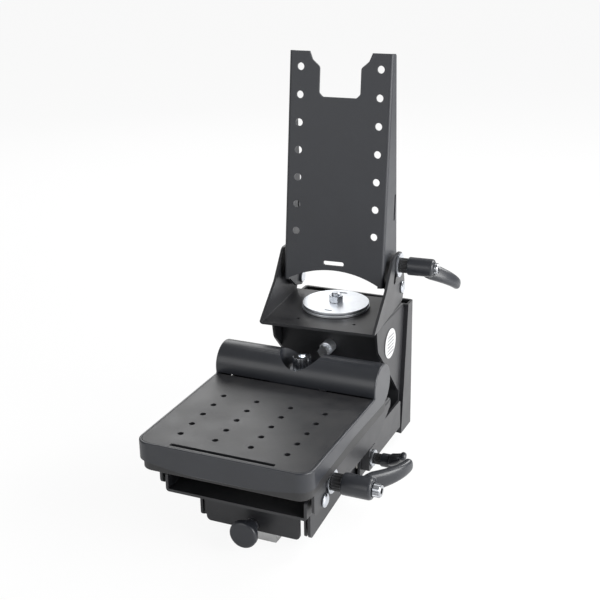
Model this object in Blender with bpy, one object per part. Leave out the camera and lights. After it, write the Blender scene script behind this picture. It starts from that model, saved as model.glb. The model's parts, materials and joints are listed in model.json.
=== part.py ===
"""Vehicle mount for a display and a keyboard, built as separate named solids.

Y = 0 is the wall face of the rear rail and Z = 0 its middle; the front faces -Y.
Sizes below are in millimetres and become metres when each mesh is made.
"""
import math
import bmesh
import bpy
from mathutils import Matrix, Vector
from mathutils.geometry import delaunay_2d_cdt

MM = 0.001
GAP = 0.3                       # running and assembly clearance
SHEET = 2.5                     # folded steel sheet
SIDES = 24                      # facets of a round piece

# Rear rail and column
RAIL_HALF = 57.0
RAIL_LOW, RAIL_TOP = -68.0, 63.0
RAIL_DEPTH_LOW, RAIL_DEPTH_TOP = 31.0, 15.0
COLUMN_HALF = 53.0
COLUMN_TOP = 65.3
FOOT_FRONT, FOOT_LOW, FOOT_TOP = -144.0, -61.0, -30.0

# Sliding base
SLIDE_HALF = 51.8
SLIDE_FRONT, SLIDE_REAR = -245.0, -48.0
SLIDE_TOP, SLIDE_LOW = -26.4, -58.0
INNER_HALF = 47.5
FACE_HALF, FACE_FRONT, FACE_LOW = 43.7, -249.0, -66.0
PLUNGER_Z = -60.5
KNOB_RADIUS, KNOB_TRAVEL = 12.4, 7.0

# Tray, its bracket and its cradle
TILT_Y, TILT_Z = -257.5, -16.8          # tray tilt axis
STUD_Y, STUD_Z = -244.0, -6.5           # front clamping stud
REAR_Y, REAR_Z = -134.0, -41.7          # rear clamping stud
CRADLE_HALF, CRADLE_LOW = 64.0, -26.0
PAN_HALF, PAN_TOP = 70.0, 4.0
TRAY_HALF, TRAY_FRONT, TRAY_TOP = 77.0, -304.0, 30.0
ROLL_Y, ROLL_Z, ROLL_RADIUS = -141.5, 35.0, 19.5
GRID_X, GRID_Y, GRID_HOLE = 31.75, 19.05, 5.0

# Yoke, swivel and display plate
SWIVEL_Y = -60.0
SWIVEL_REST = math.radians(4.0)
YOKE_HALF, YOKE_TOP = 55.0, 69.0
PIVOT_Y, PIVOT_Z = SWIVEL_Y + 32.7, 83.5        # display tilt axis
DISPLAY_REST = math.radians(-7.5)
CLAMP_RADIUS, CLAMP_ANGLE = 29.0, math.radians(123.5)
PLATE_HALF, PLATE_FACE = 48.5, -43.5
PLATE_TOP, PLATE_LOW, PATTERN_Z = 217.0, 6.0, 128.1
VESA_WIDE, VESA_STEP, VESA_HOLE = 75.0, 25.0, 6.8

COATED = ("powder coat", (0.030, 0.031, 0.034), 0.45, 0.0)
SATIN = ("satin plastic", (0.035, 0.038, 0.046), 0.35, 0.0)
BLACK = ("black plastic", (0.018, 0.018, 0.020), 0.5, 0.0)
ZINC = ("zinc plate", (0.72, 0.75, 0.78), 0.3, 1.0)
CHROME = ("chrome", (0.8, 0.8, 0.8), 0.12, 1.0)
ALUMINIUM = ("aluminium", (0.75, 0.75, 0.76), 0.35, 1.0)
NYLON = ("nylon", (0.75, 0.74, 0.70), 0.5, 0.0)
LABEL = ("label film", (0.80, 0.80, 0.79), 0.3, 0.3)

for old in list(bpy.data.objects):
    bpy.data.objects.remove(old, do_unlink=True)


def material(look):
    """One Principled material for each finish."""
    name, colour, roughness, metallic = look
    found = bpy.data.materials.get(name)
    if found:
        return found
    made = bpy.data.materials.new(name)
    made.use_nodes = True
    shader = made.node_tree.nodes["Principled BSDF"]
    shader.inputs["Base Color"].default_value = (*colour, 1.0)
    shader.inputs["Roughness"].default_value = roughness
    shader.inputs["Metallic"].default_value = metallic
    made.diffuse_color = (*colour, 1.0)
    return made


def joint(name, origin, parent=None, turn=(0.0, 0.0, 0.0)):
    """An empty on a joint axis; its children are drawn in the unturned pose."""
    empty = bpy.data.objects.new(name, None)
    bpy.context.scene.collection.objects.link(empty)
    empty["neutral"] = list(origin)
    above = Vector(parent["neutral"]) if parent else Vector()
    empty.parent = parent
    empty.location = (Vector(origin) - above) * MM
    empty.rotation_euler = turn
    return empty


def make(name, bm, look, parent=None, origin=None):
    """Turn a mesh drawn in millimetres into an object with its origin in place."""
    above = Vector(parent["neutral"]) if parent else Vector()
    centre = Vector(origin) if origin else above
    bmesh.ops.translate(bm, vec=-centre, verts=bm.verts)
    bmesh.ops.scale(bm, vec=(MM, MM, MM), verts=bm.verts)
    bmesh.ops.recalc_face_normals(bm, faces=bm.faces)
    mesh = bpy.data.meshes.new(name)
    bm.to_mesh(mesh)
    bm.free()
    mesh.materials.append(material(look))
    made = bpy.data.objects.new(name, mesh)
    bpy.context.scene.collection.objects.link(made)
    made.parent = parent
    made.location = (centre - above) * MM
    return made


def smooth(target, angle=40.0):
    """Round walls shade smooth and hard corners stay sharp."""
    mesh = target.data
    for face in mesh.polygons:
        face.use_smooth = True
    mesh.set_sharp_from_angle(angle=math.radians(angle))
    return target


def combine(target, bm, operation):
    """Cut a drawn mesh from the target, or join or intersect it."""
    name = target.name + "_" + operation.lower() + str(len(target.modifiers))
    tool = make(name, bm, COATED, target.parent,
                (Vector(target.parent["neutral"]) if target.parent else Vector())
                + target.location / MM)
    tool.hide_render = True
    tool.display_type = "WIRE"
    step = target.modifiers.new(operation.title(), "BOOLEAN")
    step.operation = operation
    step.solver = "EXACT"
    step.object = tool
    return target


def arc(centre, radius, start, end, steps=8):
    """Points of an arc, angles in degrees."""
    points = []
    for i in range(steps + 1):
        angle = math.radians(start + (end - start) * i / steps)
        points.append((centre[0] + radius * math.cos(angle), centre[1] + radius * math.sin(angle)))
    return points


def circle(centre, radius, steps=SIDES):
    return arc(centre, radius, 0.0, 360.0, steps)[:-1]


def fillet(corners, steps=5):
    """Outline from (a, b, radius) corners, each rounded by its radius."""
    points = []
    for i, (a, b, radius) in enumerate(corners):
        here = Vector((a, b))
        before = Vector(corners[i - 1][:2]) - here
        after = Vector(corners[(i + 1) % len(corners)][:2]) - here
        if radius <= 0.0:
            points.append((a, b))
            continue
        half = before.angle(after) / 2.0
        reach = radius / math.tan(half)
        centre = here + (before.normalized() + after.normalized()).normalized() * radius / math.sin(half)
        first = here + before.normalized() * reach - centre
        last = here + after.normalized() * reach - centre
        sweep = first.angle_signed(last)
        for k in range(steps + 1):
            spoke = first.copy()
            spoke.rotate(Matrix.Rotation(-sweep * k / steps, 2))
            points.append(tuple(centre + spoke))
    return points


def box_outline(a0, b0, a1, b1, radius=0.0):
    return fillet([(a0, b0, radius), (a1, b0, radius), (a1, b1, radius), (a0, b1, radius)])


def slot(centre, radius, start, end, width, steps=6):
    """Curved slot around a centre, from one angle to another."""
    half = width / 2.0
    outer = arc(centre, radius + half, start, end, steps)
    tip = arc(arc(centre, radius, end, end, 1)[0], half, end, end + 180.0, steps)
    inner = arc(centre, radius - half, end, start, steps)
    root = arc(arc(centre, radius, start, start, 1)[0], half, start + 180.0, start + 360.0, steps)
    return outer + tip[1:-1] + inner + root[1:-1]


def place(axis, a, b, along):
    """Drawing axes: X draws (y, z), Y draws (x, z), Z draws (x, y)."""
    if axis == "X":
        return (along, a, b)
    if axis == "Y":
        return (a, along, b)
    return (a, b, along)


def prism(axis, outline, low, high, holes=()):
    """Straight solid from an outline, with through holes."""
    loops = [list(outline)] + [list(hole) for hole in holes]
    flat = [Vector(point) for loop in loops for point in loop]
    rims = []
    for loop in loops:
        start = sum(len(rim) for rim in rims)
        rims.append(list(range(start, start + len(loop))))
    points, _, faces, _, _, _ = delaunay_2d_cdt(flat, [], rims, 5, 1e-6)
    bm = bmesh.new()
    lower = [bm.verts.new(place(axis, p[0], p[1], low)) for p in points]
    upper = [bm.verts.new(place(axis, p[0], p[1], high)) for p in points]
    count = {}
    for face in faces:
        bm.faces.new([lower[i] for i in face])
        bm.faces.new([upper[i] for i in reversed(face)])
        for i in range(len(face)):
            pair = (face[i], face[(i + 1) % len(face)])
            count.setdefault(frozenset(pair), []).append(pair)
    for pairs in count.values():
        if len(pairs) == 1:
            i, j = pairs[0]
            bm.faces.new([lower[j], lower[i], upper[i], upper[j]])
    return bm


def turned(axis, centre, profile, sides=SIDES):
    """Solid of revolution from (along, radius) points; ends at radius 0 close it."""
    bm = bmesh.new()
    rings = []
    for along, radius in profile:
        if radius < 1e-6:
            rings.append([bm.verts.new(around(axis, centre, along, 0.0, 0.0))])
        else:
            rings.append([bm.verts.new(around(axis, centre, along, radius, i / sides))
                          for i in range(sides)])
    closed = profile[0][1] > 1e-6
    pairs = list(zip(rings, rings[1:])) + ([(rings[-1], rings[0])] if closed else [])
    for first, second in pairs:
        for i in range(sides):
            j = (i + 1) % sides
            quad = [first[i % len(first)], first[j % len(first)],
                    second[j % len(second)], second[i % len(second)]]
            bm.faces.new(list(dict.fromkeys(quad)))
    return bm


def around(axis, centre, along, radius, part):
    angle = 2.0 * math.pi * part
    a, b = radius * math.cos(angle), radius * math.sin(angle)
    shift = Vector(place(axis, a, b, along))
    return Vector(centre) + shift


def tube(axis, centre, low, high, outer, inner, sides=SIDES):
    return turned(axis, centre, [(low, inner), (low, outer), (high, outer), (high, inner)], sides)


def disc(axis, centre, low, high, radius, sides=SIDES):
    return turned(axis, centre, [(low, 0.0), (low, radius), (high, radius), (high, 0.0)], sides)


def nut(axis, centre, low, high, corner, bore):
    """Hexagon nut around a plain bore."""
    flat = {"X": centre[1:], "Y": (centre[0], centre[2]), "Z": centre[:2]}[axis]
    return prism(axis, circle(flat, corner, 6), low, high, [circle(flat, bore, 24)])


def coil(axis, centre, low, high, radius, wire, turns):
    """Compression spring with open round ends."""
    bm = bmesh.new()
    steps = turns * 10
    rings = []
    for k in range(steps + 1):
        part = k / steps
        along = low + (high - low) * part
        ring = []
        for i in range(5):
            spin = math.radians(72.0 * i)
            ring.append(bm.verts.new(around(axis, centre, along + wire * math.sin(spin),
                                            radius + wire * math.cos(spin), turns * part)))
        rings.append(ring)
    for first, second in zip(rings, rings[1:]):
        for i in range(5):
            j = (i + 1) % 5
            bm.faces.new([first[i], first[j], second[j], second[i]])
    bm.faces.new(rings[0])
    bm.faces.new(list(reversed(rings[-1])))
    return bm


def mirrored_sides(half, outline):
    """Right side sheet first, then the left one, as two prisms."""
    return (prism("X", outline, half - SHEET, half), prism("X", outline, -half, -half + SHEET))


def build_clamp(name, centre, wall, parent, span, hub, proud, radii, reach, aim,
                size=1.0, lift=4.0):
    """Clamping lever on an X axis: stud, washer, insert, handle, spring and cap screw.

    The handle pulls out along the axis, to turn freely before it grips the insert again.
    span is the stud's inner end, hub the handle's start and end, proud the screw head's
    height over it, radii those of handle, washer and neck, aim the arm's angle.
    """
    y, z = centre
    seat, end = hub
    axis_point = (0.0, y, z)
    turn = joint(name + "_turn", (seat, y, z), parent)
    radius, flange, waist = radii
    bore = 0.66 * radius
    counter = 0.655 * radius
    smooth(make(name + "_washer", tube("X", axis_point, wall + GAP, wall + GAP + 2.0,
                                       flange, 3.4), ZINC, turn))
    deep = end - 13.6 * size
    neck = [(wall + GAP + 2.3, 3.3), (wall + GAP + 2.3, waist), (seat - GAP, waist),
            (seat - GAP, bore - GAP), (deep, bore - GAP), (deep, 2.9),
            (seat + 3.0, 2.9), (seat + 3.0, 3.3)]
    smooth(make(name + "_insert", turned("X", axis_point, neck, 16), BLACK, turn))
    stud = [(span, 0.0), (span, 3.0), (seat + 2.5, 3.0), (seat + 2.5, 0.0)]
    smooth(make(name + "_stud", turned("X", axis_point, stud, 16), ZINC, turn))
    head, top = counter - 0.4, end + proud
    under = end - 2.2
    screw = [(end - 16.0 * size, 0.0), (end - 16.0 * size, 2.6), (under, 2.6), (under, head),
             (top - 0.8, head), (top, head - 0.8), (top, 0.5 * head),
             (top - 3.2 * size, 0.5 * head), (top - 3.2 * size, 0.0)]
    smooth(make(name + "_cap_screw", turned("X", axis_point, screw, 24), CHROME, turn))
    rim = 0.25 * radius
    well, step = end - 10.0 * size, end - 13.0 * size
    shell = [(seat, bore), (seat, radius - 0.6), (seat + 0.6, radius), (end - rim, radius),
             (end - 0.3 * rim, radius - 0.35 * rim), (end, radius - rim), (end, counter),
             (well, counter), (well, 3.1), (step, 3.1), (step, bore)]
    handle = smooth(make(name + "_handle", turned("X", axis_point, shell), SATIN, turn))
    combine(handle, build_arm(axis_point, end, radius, counter, reach, aim, size), "UNION")
    low, high = well + lift + 0.65, under - 0.65
    spring = coil("X", axis_point, low, high, (2.9 + counter) / 2.0, 0.3, round(high - low - 0.2))
    smooth(make(name + "_spring", spring, ZINC, turn))
    return turn


def build_arm(axis_point, end, radius, counter, reach, aim, size):
    """Curved arm that leaves the handle's side near its end and bends outward."""
    bm = bmesh.new()
    out = Vector((0.0, math.cos(aim), math.sin(aim)))
    side = Vector((0.0, -math.sin(aim), math.cos(aim)))
    rings = []
    steps = 12
    root = counter + 0.8 + 4.8 * size * math.sin(math.radians(51.0))
    for k in range(-1, steps + 1):
        part = max(k, 0) / steps
        along = root + (reach - root) * part
        lift = end - 5.0 * size + 20.0 * size * (1.0 - (1.0 - part) ** 1.9)
        wide = radius * (0.92 - 0.32 * part)
        thick = (4.8 - 1.2 * part) * size
        lean = math.atan2(38.0 * size * (1.0 - part) ** 0.9, reach - root)
        if k < 0:
            along, lift, thick, lean = counter + 0.6, end - 7.5 * size, 4.5 * size, 0.0
        if k == steps:
            wide *= 0.72
            thick *= 0.72
        normal = Vector((math.cos(lean), 0.0, 0.0)) - out * math.sin(lean)
        middle = Vector((lift, axis_point[1], axis_point[2])) + out * along
        ring = []
        for i in range(12):
            angle = 2.0 * math.pi * i / 12
            flat = math.copysign(abs(math.cos(angle)) ** 0.7, math.cos(angle))
            deep = math.copysign(abs(math.sin(angle)) ** 0.7, math.sin(angle))
            ring.append(bm.verts.new(middle + side * wide * flat + normal * thick * deep))
        rings.append(ring)
    for first, second in zip(rings, rings[1:]):
        for i in range(12):
            j = (i + 1) % 12
            bm.faces.new([first[i], first[j], second[j], second[i]])
    bm.faces.new(rings[0])
    bm.faces.new(list(reversed(rings[-1])))
    return bm


def rail_line(z):
    """Y of the rail's sloping front at a height."""
    part = (z - RAIL_LOW) / (RAIL_TOP - RAIL_LOW)
    return -(RAIL_DEPTH_LOW + (RAIL_DEPTH_TOP - RAIL_DEPTH_LOW) * part)


def build_stand():
    """Rear rail, column and foot: everything that stays with the wall."""
    holes = [circle((x, z), 3.4, 16) for x in (-32.0, 32.0) for z in (-48.0, 44.0)]
    web = box_outline(-RAIL_HALF, RAIL_LOW, RAIL_HALF, RAIL_TOP, 3.0)
    rail = make("rear_rail", prism("Y", web, -SHEET, 0.0, holes), COATED)
    side = fillet([(-0.1, RAIL_LOW + 0.1, 4.0), (rail_line(RAIL_LOW), RAIL_LOW + 0.1, 0.0),
                   (rail_line(RAIL_TOP), RAIL_TOP - 0.1, 0.0), (-0.1, RAIL_TOP - 0.1, 4.0)])
    for sheet in mirrored_sides(RAIL_HALF, side):
        combine(rail, sheet, "UNION")
    lip = [(rail_line(RAIL_LOW) + 0.05, RAIL_LOW + 0.3), (rail_line(RAIL_TOP) + 0.05, RAIL_TOP - 0.3),
           (rail_line(RAIL_TOP) + SHEET, RAIL_TOP - 0.3), (rail_line(RAIL_LOW) + SHEET, RAIL_LOW + 0.3)]
    for edge in (RAIL_HALF - 8.0, -RAIL_HALF + 0.2):
        combine(rail, prism("X", lip, edge, edge + 7.8), "UNION")

    rear = -GAP - SHEET - GAP
    gusset = fillet([(-92.0, COLUMN_TOP, 0.0), (-91.0, 56.0, 4.0), (-88.0, 41.0, 12.0),
                     (-71.0, 23.0, 20.0), (rail_line(-24.0) + rear, -24.0, 1.5),
                     (rail_line(COLUMN_TOP) + rear, COLUMN_TOP, 0.0)])
    shell = make("column_shell", prism("Z", box_outline(-COLUMN_HALF + 0.1, -91.9, COLUMN_HALF - 0.1,
                                                        rail_line(COLUMN_TOP) + rear - 0.1),
                                       COLUMN_TOP - SHEET, COLUMN_TOP - 0.02,
                                       [circle((0.0, SWIVEL_Y), 4.3, 24)]), COATED)
    for sheet in mirrored_sides(COLUMN_HALF, gusset):
        combine(shell, sheet, "UNION")

    back_low, back_top = -58.0, 60.0
    line = -GAP
    back = [(rail_line(back_low) + line, back_low), (rail_line(back_top) + line, back_top),
            (rail_line(back_top) + line - SHEET, back_top), (rail_line(back_low) + line - SHEET, back_low)]
    make("column_back_plate", prism("X", back, -COLUMN_HALF, COLUMN_HALF), COATED)
    front = box_outline(-COLUMN_HALF + SHEET + GAP, 4.0, COLUMN_HALF - SHEET - GAP,
                        COLUMN_TOP - SHEET - GAP, 2.0)
    bolt = (0.0, 0.0, 35.5)
    panel = make("column_front_plate", prism("Y", front, -75.0, -72.5), COATED)
    combine(panel, disc("Y", bolt, -73.0, -67.0, 6.2, 6), "UNION")
    combine(panel, disc("Y", bolt, -80.0, -60.0, 3.3, 16), "DIFFERENCE")
    smooth(make("column_bushing", tube("Y", bolt, -86.0, -75.3, 6.4, 3.6), ZINC))
    shank = disc("Y", bolt, -90.0, -64.0, 3.0, 16)
    screw = make("column_bolt", shank, ZINC)
    combine(screw, disc("Y", bolt, -93.6, -86.3, 5.3, 6), "UNION")
    smooth(screw)
    smooth(make("label_disc", disc("X", (0.0, -56.0, 38.0), COLUMN_HALF + 0.2, COLUMN_HALF + 0.7,
                                   14.5), LABEL))

    floor = box_outline(-RAIL_HALF + 0.1, FOOT_FRONT + 0.1, RAIL_HALF - 0.1, -34.2, 1.0)
    foot = make("foot_channel", prism("Z", floor, FOOT_LOW, FOOT_LOW + SHEET), COATED)
    wall = fillet([(FOOT_FRONT, FOOT_LOW + 0.1, 3.0), (FOOT_FRONT, FOOT_TOP, 6.0),
                   (-34.3, FOOT_TOP, 3.0), (-34.3, FOOT_LOW + 0.1, 0.0)])
    for sheet in mirrored_sides(RAIL_HALF, wall):
        combine(foot, sheet, "UNION")
    for sign, name in ((1.0, "runner_right"), (-1.0, "runner_left")):
        edges = sorted((sign * (SLIDE_HALF + 0.35), sign * (RAIL_HALF - SHEET - GAP)))
        make(name, prism("X", box_outline(FOOT_FRONT + 2.0, -52.0, -60.0, -36.0, 2.0), *edges), NYLON)
    block = prism("X", box_outline(-142.0, -52.0, -126.0, -30.5, 1.5), RAIL_HALF + GAP, RAIL_HALF + 8.0,
                  [circle((REAR_Y, REAR_Z), 3.4, 16)])
    make("guide_block", block, COATED)
    rear_stud = (0.0, REAR_Y, REAR_Z)
    combine(foot, disc("X", rear_stud, RAIL_HALF - 6.0, RAIL_HALF + 6.0, 3.4, 16), "DIFFERENCE")
    combine(bpy.data.objects["runner_right"],
            disc("X", rear_stud, SLIDE_HALF, RAIL_HALF, 3.4, 16), "DIFFERENCE")


def build_slide(base):
    """Sliding base: outer and inner channels and the plunger lock."""
    web = box_outline(-SLIDE_HALF + 0.1, SLIDE_FRONT + 0.1, SLIDE_HALF - 0.1, SLIDE_REAR - 0.1, 1.0)
    outer = make("slide_channel", prism("Z", web, SLIDE_TOP - SHEET, SLIDE_TOP), COATED, base)
    side = fillet([(SLIDE_FRONT, SLIDE_TOP - 0.1, 3.0), (SLIDE_FRONT, FACE_LOW, 4.0),
                   (-158.0, SLIDE_LOW, 0.0), (SLIDE_REAR, SLIDE_LOW, 3.0),
                   (SLIDE_REAR, SLIDE_TOP - 0.1, 0.0)])
    for sheet in mirrored_sides(SLIDE_HALF, side):
        combine(outer, sheet, "UNION")
    top = SLIDE_TOP - SHEET - GAP
    inner_web = box_outline(-INNER_HALF + 0.1, FACE_FRONT + 0.1, INNER_HALF - 0.1, -150.1, 1.0)
    inner = make("inner_channel", prism("Z", inner_web, top - 1.6, top), COATED, base)
    wing = fillet([(FACE_FRONT + 4.0, top - 0.1, 0.0), (FACE_FRONT + 4.0, FACE_LOW + 1.0, 3.0),
                   (-150.0, SLIDE_LOW, 3.0), (-150.0, top - 0.1, 0.0)])
    for low in (INNER_HALF - 1.6, -INNER_HALF):
        combine(inner, prism("X", wing, low, low + 1.6), "UNION")
    face = fillet([(-FACE_HALF, top - 0.2, 0.0), (FACE_HALF, top - 0.2, 0.0),
                   (FACE_HALF, FACE_LOW, 4.0), (-FACE_HALF, FACE_LOW, 4.0)])
    lock = (0.0, 0.0, PLUNGER_Z)
    combine(inner, prism("Y", face, FACE_FRONT, FACE_FRONT + SHEET), "UNION")
    combine(inner, disc("Y", lock, FACE_FRONT - 5.0, FACE_FRONT + 5.0, 5.8, 24), "DIFFERENCE")

    block = prism("Y", box_outline(-18.0, -80.0, 18.0, -50.0, 1.0), -240.0, -214.0,
                  [circle((0.0, PLUNGER_Z), 5.8, 24)])
    make("plunger_block", block, ALUMINIUM, base)
    barrel = [(-251.5, 3.3), (-251.5, 5.4), (-216.0, 5.4), (-216.0, 3.3)]
    smooth(make("plunger_sleeve", turned("Y", lock, barrel, 24), ZINC, base))
    pull = joint("plunger_pull", (0.0, -268.0, PLUNGER_Z), base)
    pin = [(-262.0, 0.0), (-262.0, 2.0), (-232.0, 2.0), (-232.0, 3.0), (-206.0, 3.0), (-204.0, 1.8),
           (-204.0, 0.0)]
    smooth(make("plunger_pin", turned("Y", lock, pin, 16), ZINC, pull))
    knob = [(-269.0, 0.0), (-269.0, KNOB_RADIUS - 3.0), (-268.0, KNOB_RADIUS - 0.8),
            (-266.6, KNOB_RADIUS), (-263.4, KNOB_RADIUS), (-262.2, KNOB_RADIUS - 1.0),
            (-260.8, 7.4), (-259.0, 6.6), (-251.8, 6.6), (-251.8, 2.3), (-262.3, 2.3), (-262.3, 0.0)]
    smooth(make("pull_knob", turned("Y", lock, knob), SATIN, pull))
    smooth(make("plunger_spring", coil("Y", lock, -249.5, -240.5, 2.65, 0.3, 4), ZINC, base))


def build_cradle(base):
    """Open channel that carries the tray's tilt pivots."""
    floor = box_outline(-CRADLE_HALF + 0.1, -279.4, CRADLE_HALF - 0.1, -180.1, 1.0)
    cradle = make("tray_cradle", prism("Z", floor, CRADLE_LOW, CRADLE_LOW + SHEET), COATED, base)
    wall = fillet([(-279.5, CRADLE_LOW + 0.1, 0.0), (-279.5, -11.0, 3.0), (-268.0, -4.0, 6.0),
                   (-256.0, -1.6, 4.0), (-180.0, -1.6, 6.0), (-180.0, CRADLE_LOW + 0.1, 0.0)])
    for sheet in mirrored_sides(CRADLE_HALF, wall):
        combine(cradle, sheet, "UNION")
    for y, z in ((TILT_Y, TILT_Z), (STUD_Y, STUD_Z)):
        combine(cradle, disc("X", (0.0, y, z), -90.0, 90.0, 3.4, 16), "DIFFERENCE")
    return cradle


def build_tray(base):
    """Tray bracket, shell, bezel with its rounded back, plate and lock."""
    top = box_outline(-PAN_HALF + 0.1, -277.9, PAN_HALF - 0.1, -100.2, 1.0)
    pan = make("tray_bracket", prism("Z", top, PAN_TOP - SHEET, PAN_TOP), COATED, base)
    wing = fillet([(-278.0, PAN_TOP - 0.1, 0.0), (-278.0, -21.0, 5.0), (-133.0, -22.0, 5.0),
                   (-102.0, -3.0, 4.0), (-100.0, PAN_TOP - 0.1, 0.0)])
    for sheet in mirrored_sides(PAN_HALF, wing):
        combine(pan, sheet, "UNION")
    reach = math.hypot(STUD_Y - TILT_Y, STUD_Z - TILT_Z)
    rise = math.degrees(math.atan2(STUD_Z - TILT_Z, STUD_Y - TILT_Y))
    combine(pan, prism("X", slot((TILT_Y, TILT_Z), reach, rise - 38.0, rise + 4.0, 6.8), -90.0, 90.0),
            "DIFFERENCE")
    combine(pan, disc("X", (0.0, TILT_Y, TILT_Z), -90.0, 90.0, 3.4, 16), "DIFFERENCE")

    low, high = 4.3, 26.4
    plan = fillet([(-74.6, -301.0, 11.0), (74.6, -301.0, 11.0), (74.6, -126.0, 3.0), (-74.6, -126.0, 3.0)])
    room = fillet([(-72.4, -298.8, 9.0), (72.4, -298.8, 9.0), (72.4, -128.2, 2.0), (-72.4, -128.2, 2.0)])
    shell = make("tray_shell", prism("Z", plan, low, 17.2), BLACK, base)
    combine(shell, prism("Z", room, low + 2.0, 21.0), "DIFFERENCE")

    outline = [(TRAY_FRONT, 8.0), (TRAY_FRONT, TRAY_TOP)]
    start = math.degrees(math.asin((TRAY_TOP - ROLL_Z) / ROLL_RADIUS))
    outline += arc((ROLL_Y, ROLL_Z), ROLL_RADIUS, 180.0 - start, -80.0, 28)
    outline += [(-208.0, 17.2), (-284.0, 14.4), (-292.0, 8.0)]
    bezel = make("tray_bezel", prism("X", outline, -TRAY_HALF, TRAY_HALF), SATIN, base)
    corner = fillet([(-TRAY_HALF - 0.02, TRAY_FRONT - 0.02, 13.0), (TRAY_HALF + 0.02, TRAY_FRONT - 0.02, 13.0),
                     (TRAY_HALF + 0.02, -100.0, 0.0), (-TRAY_HALF - 0.02, -100.0, 0.0)], 8)
    combine(bezel, prism("Z", corner, 0.0, 70.0), "INTERSECT")
    smile = [(x, 8.0 + 5.5 * min(1.0, abs(x) / 66.0) ** 2.2) for x in range(-66, 67, 6)]
    smile = [(-90.0, 0.0), (90.0, 0.0), (90.0, 13.5)] + smile[::-1] + [(-90.0, 13.5)]
    combine(bezel, prism("Y", smile, -310.0, -283.0), "DIFFERENCE")
    pocket = fillet([(-74.8, -302.0, 11.0), (74.8, -302.0, 11.0), (74.8, -158.6, 0.4), (-74.8, -158.6, 0.4)], 8)
    combine(bezel, prism("Z", pocket, high, 31.0), "DIFFERENCE")
    hollow = fillet([(-74.9, -301.4, 11.0), (74.9, -301.4, 11.0), (74.9, -163.0, 2.0), (-74.9, -163.0, 2.0)], 8)
    combine(bezel, prism("Z", hollow, 0.0, high - 2.0), "DIFFERENCE")
    window = fillet([(-68.0, -296.0, 8.0), (68.0, -296.0, 8.0), (68.0, -168.0, 4.0), (-68.0, -168.0, 4.0)])
    combine(bezel, prism("Z", window, high - 5.0, high + 1.0), "DIFFERENCE")
    cave = arc((ROLL_Y, ROLL_Z), ROLL_RADIUS - 2.4, 0.0, 180.0, 14) + [(ROLL_Y - 17.1, 8.0), (ROLL_Y + 17.1, 8.0)]
    for low_x, high_x in ((-74.9, -24.0), (24.0, 74.9)):
        combine(bezel, prism("X", cave, low_x, high_x), "DIFFERENCE")
    combine(bezel, prism("Z", box_outline(-74.9, -168.5, 74.9, -124.1, 2.0), 0.0, 20.5), "DIFFERENCE")
    scoop = [(34.0, 0.0), (34.0, 15.0), (36.0, 17.5), (60.0, 21.0), (60.0, 0.0)]
    combine(bezel, turned("Z", (0.0, ROLL_Y + 1.0, 0.0), scoop), "DIFFERENCE")
    combine(bezel, disc("Z", (0.0, ROLL_Y + 1.0, 0.0), 10.0, 40.0, 6.3, 24), "DIFFERENCE")
    smooth(bezel, 30.0)

    sheet = fillet([(-74.5, -301.7, 11.0), (74.5, -301.7, 11.0), (74.5, -161.2, 0.4), (-74.5, -161.2, 0.4)], 8)
    holes = [circle(((i - 1.5) * GRID_X, -240.0 + (j - 2) * GRID_Y), GRID_HOLE / 2.0, 10)
             for i in range(4) for j in range(5)]
    holes.append(box_outline(-46.0, -299.6, 46.0, -296.0, 1.0))
    make("tray_plate", prism("Z", sheet, high + GAP, TRAY_TOP, holes), COATED, base)

    axis_point = (0.0, ROLL_Y + 1.0, 0.0)
    collar = tube("Z", axis_point, 34.3, 39.0, 11.5, 6.2, 24)
    smooth(make("lock_collar", collar, CHROME, base))
    turn = joint("lock_turn", (0.0, ROLL_Y + 1.0, 40.0), base)
    knob = make("lock_knob", prism("Z", circle((0.0, ROLL_Y + 1.0), 8.4, 32), 39.3, 50.5), CHROME, turn)
    for i in range(10):
        angle = 2.0 * math.pi * i / 10
        spot = (9.3 * math.cos(angle), ROLL_Y + 1.0 + 9.3 * math.sin(angle), 0.0)
        combine(knob, disc("Z", spot, 39.0, 51.0, 1.9, 10), "DIFFERENCE")
    combine(knob, disc("Z", axis_point, 48.0, 52.0, 3.4, 6), "DIFFERENCE")
    combine(knob, disc("Z", axis_point, 22.0, 40.0, 5.9, 24), "UNION")


def build_pivots(name, y, z, outer, inner, parent):
    """Shoulder rivet and spacer washer on each side of a tilt axis."""
    for sign, hand in ((1.0, "right"), (-1.0, "left")):
        rivet = [(inner - SHEET - 2.2, 0.0), (inner - SHEET - 2.2, 5.4), (inner - SHEET - GAP, 5.4),
                 (inner - SHEET - GAP, 3.3), (outer + GAP, 3.3), (outer + GAP, 6.0),
                 (outer + 1.4, 6.0), (outer + 2.4, 4.2), (outer + 2.4, 0.0)]
        bm = turned("X", (0.0, y, z), [(sign * along, radius) for along, radius in rivet], 24)
        smooth(make(name + "_pivot_" + hand, bm, ZINC, parent))
        ends = sorted((sign * (inner + GAP), sign * (outer - SHEET - GAP)))
        spacer = tube("X", (0.0, y, z), ends[0], ends[1], 8.0, 3.6, 24)
        smooth(make(name + "_spacer_" + hand, spacer, NYLON, parent))


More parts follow.
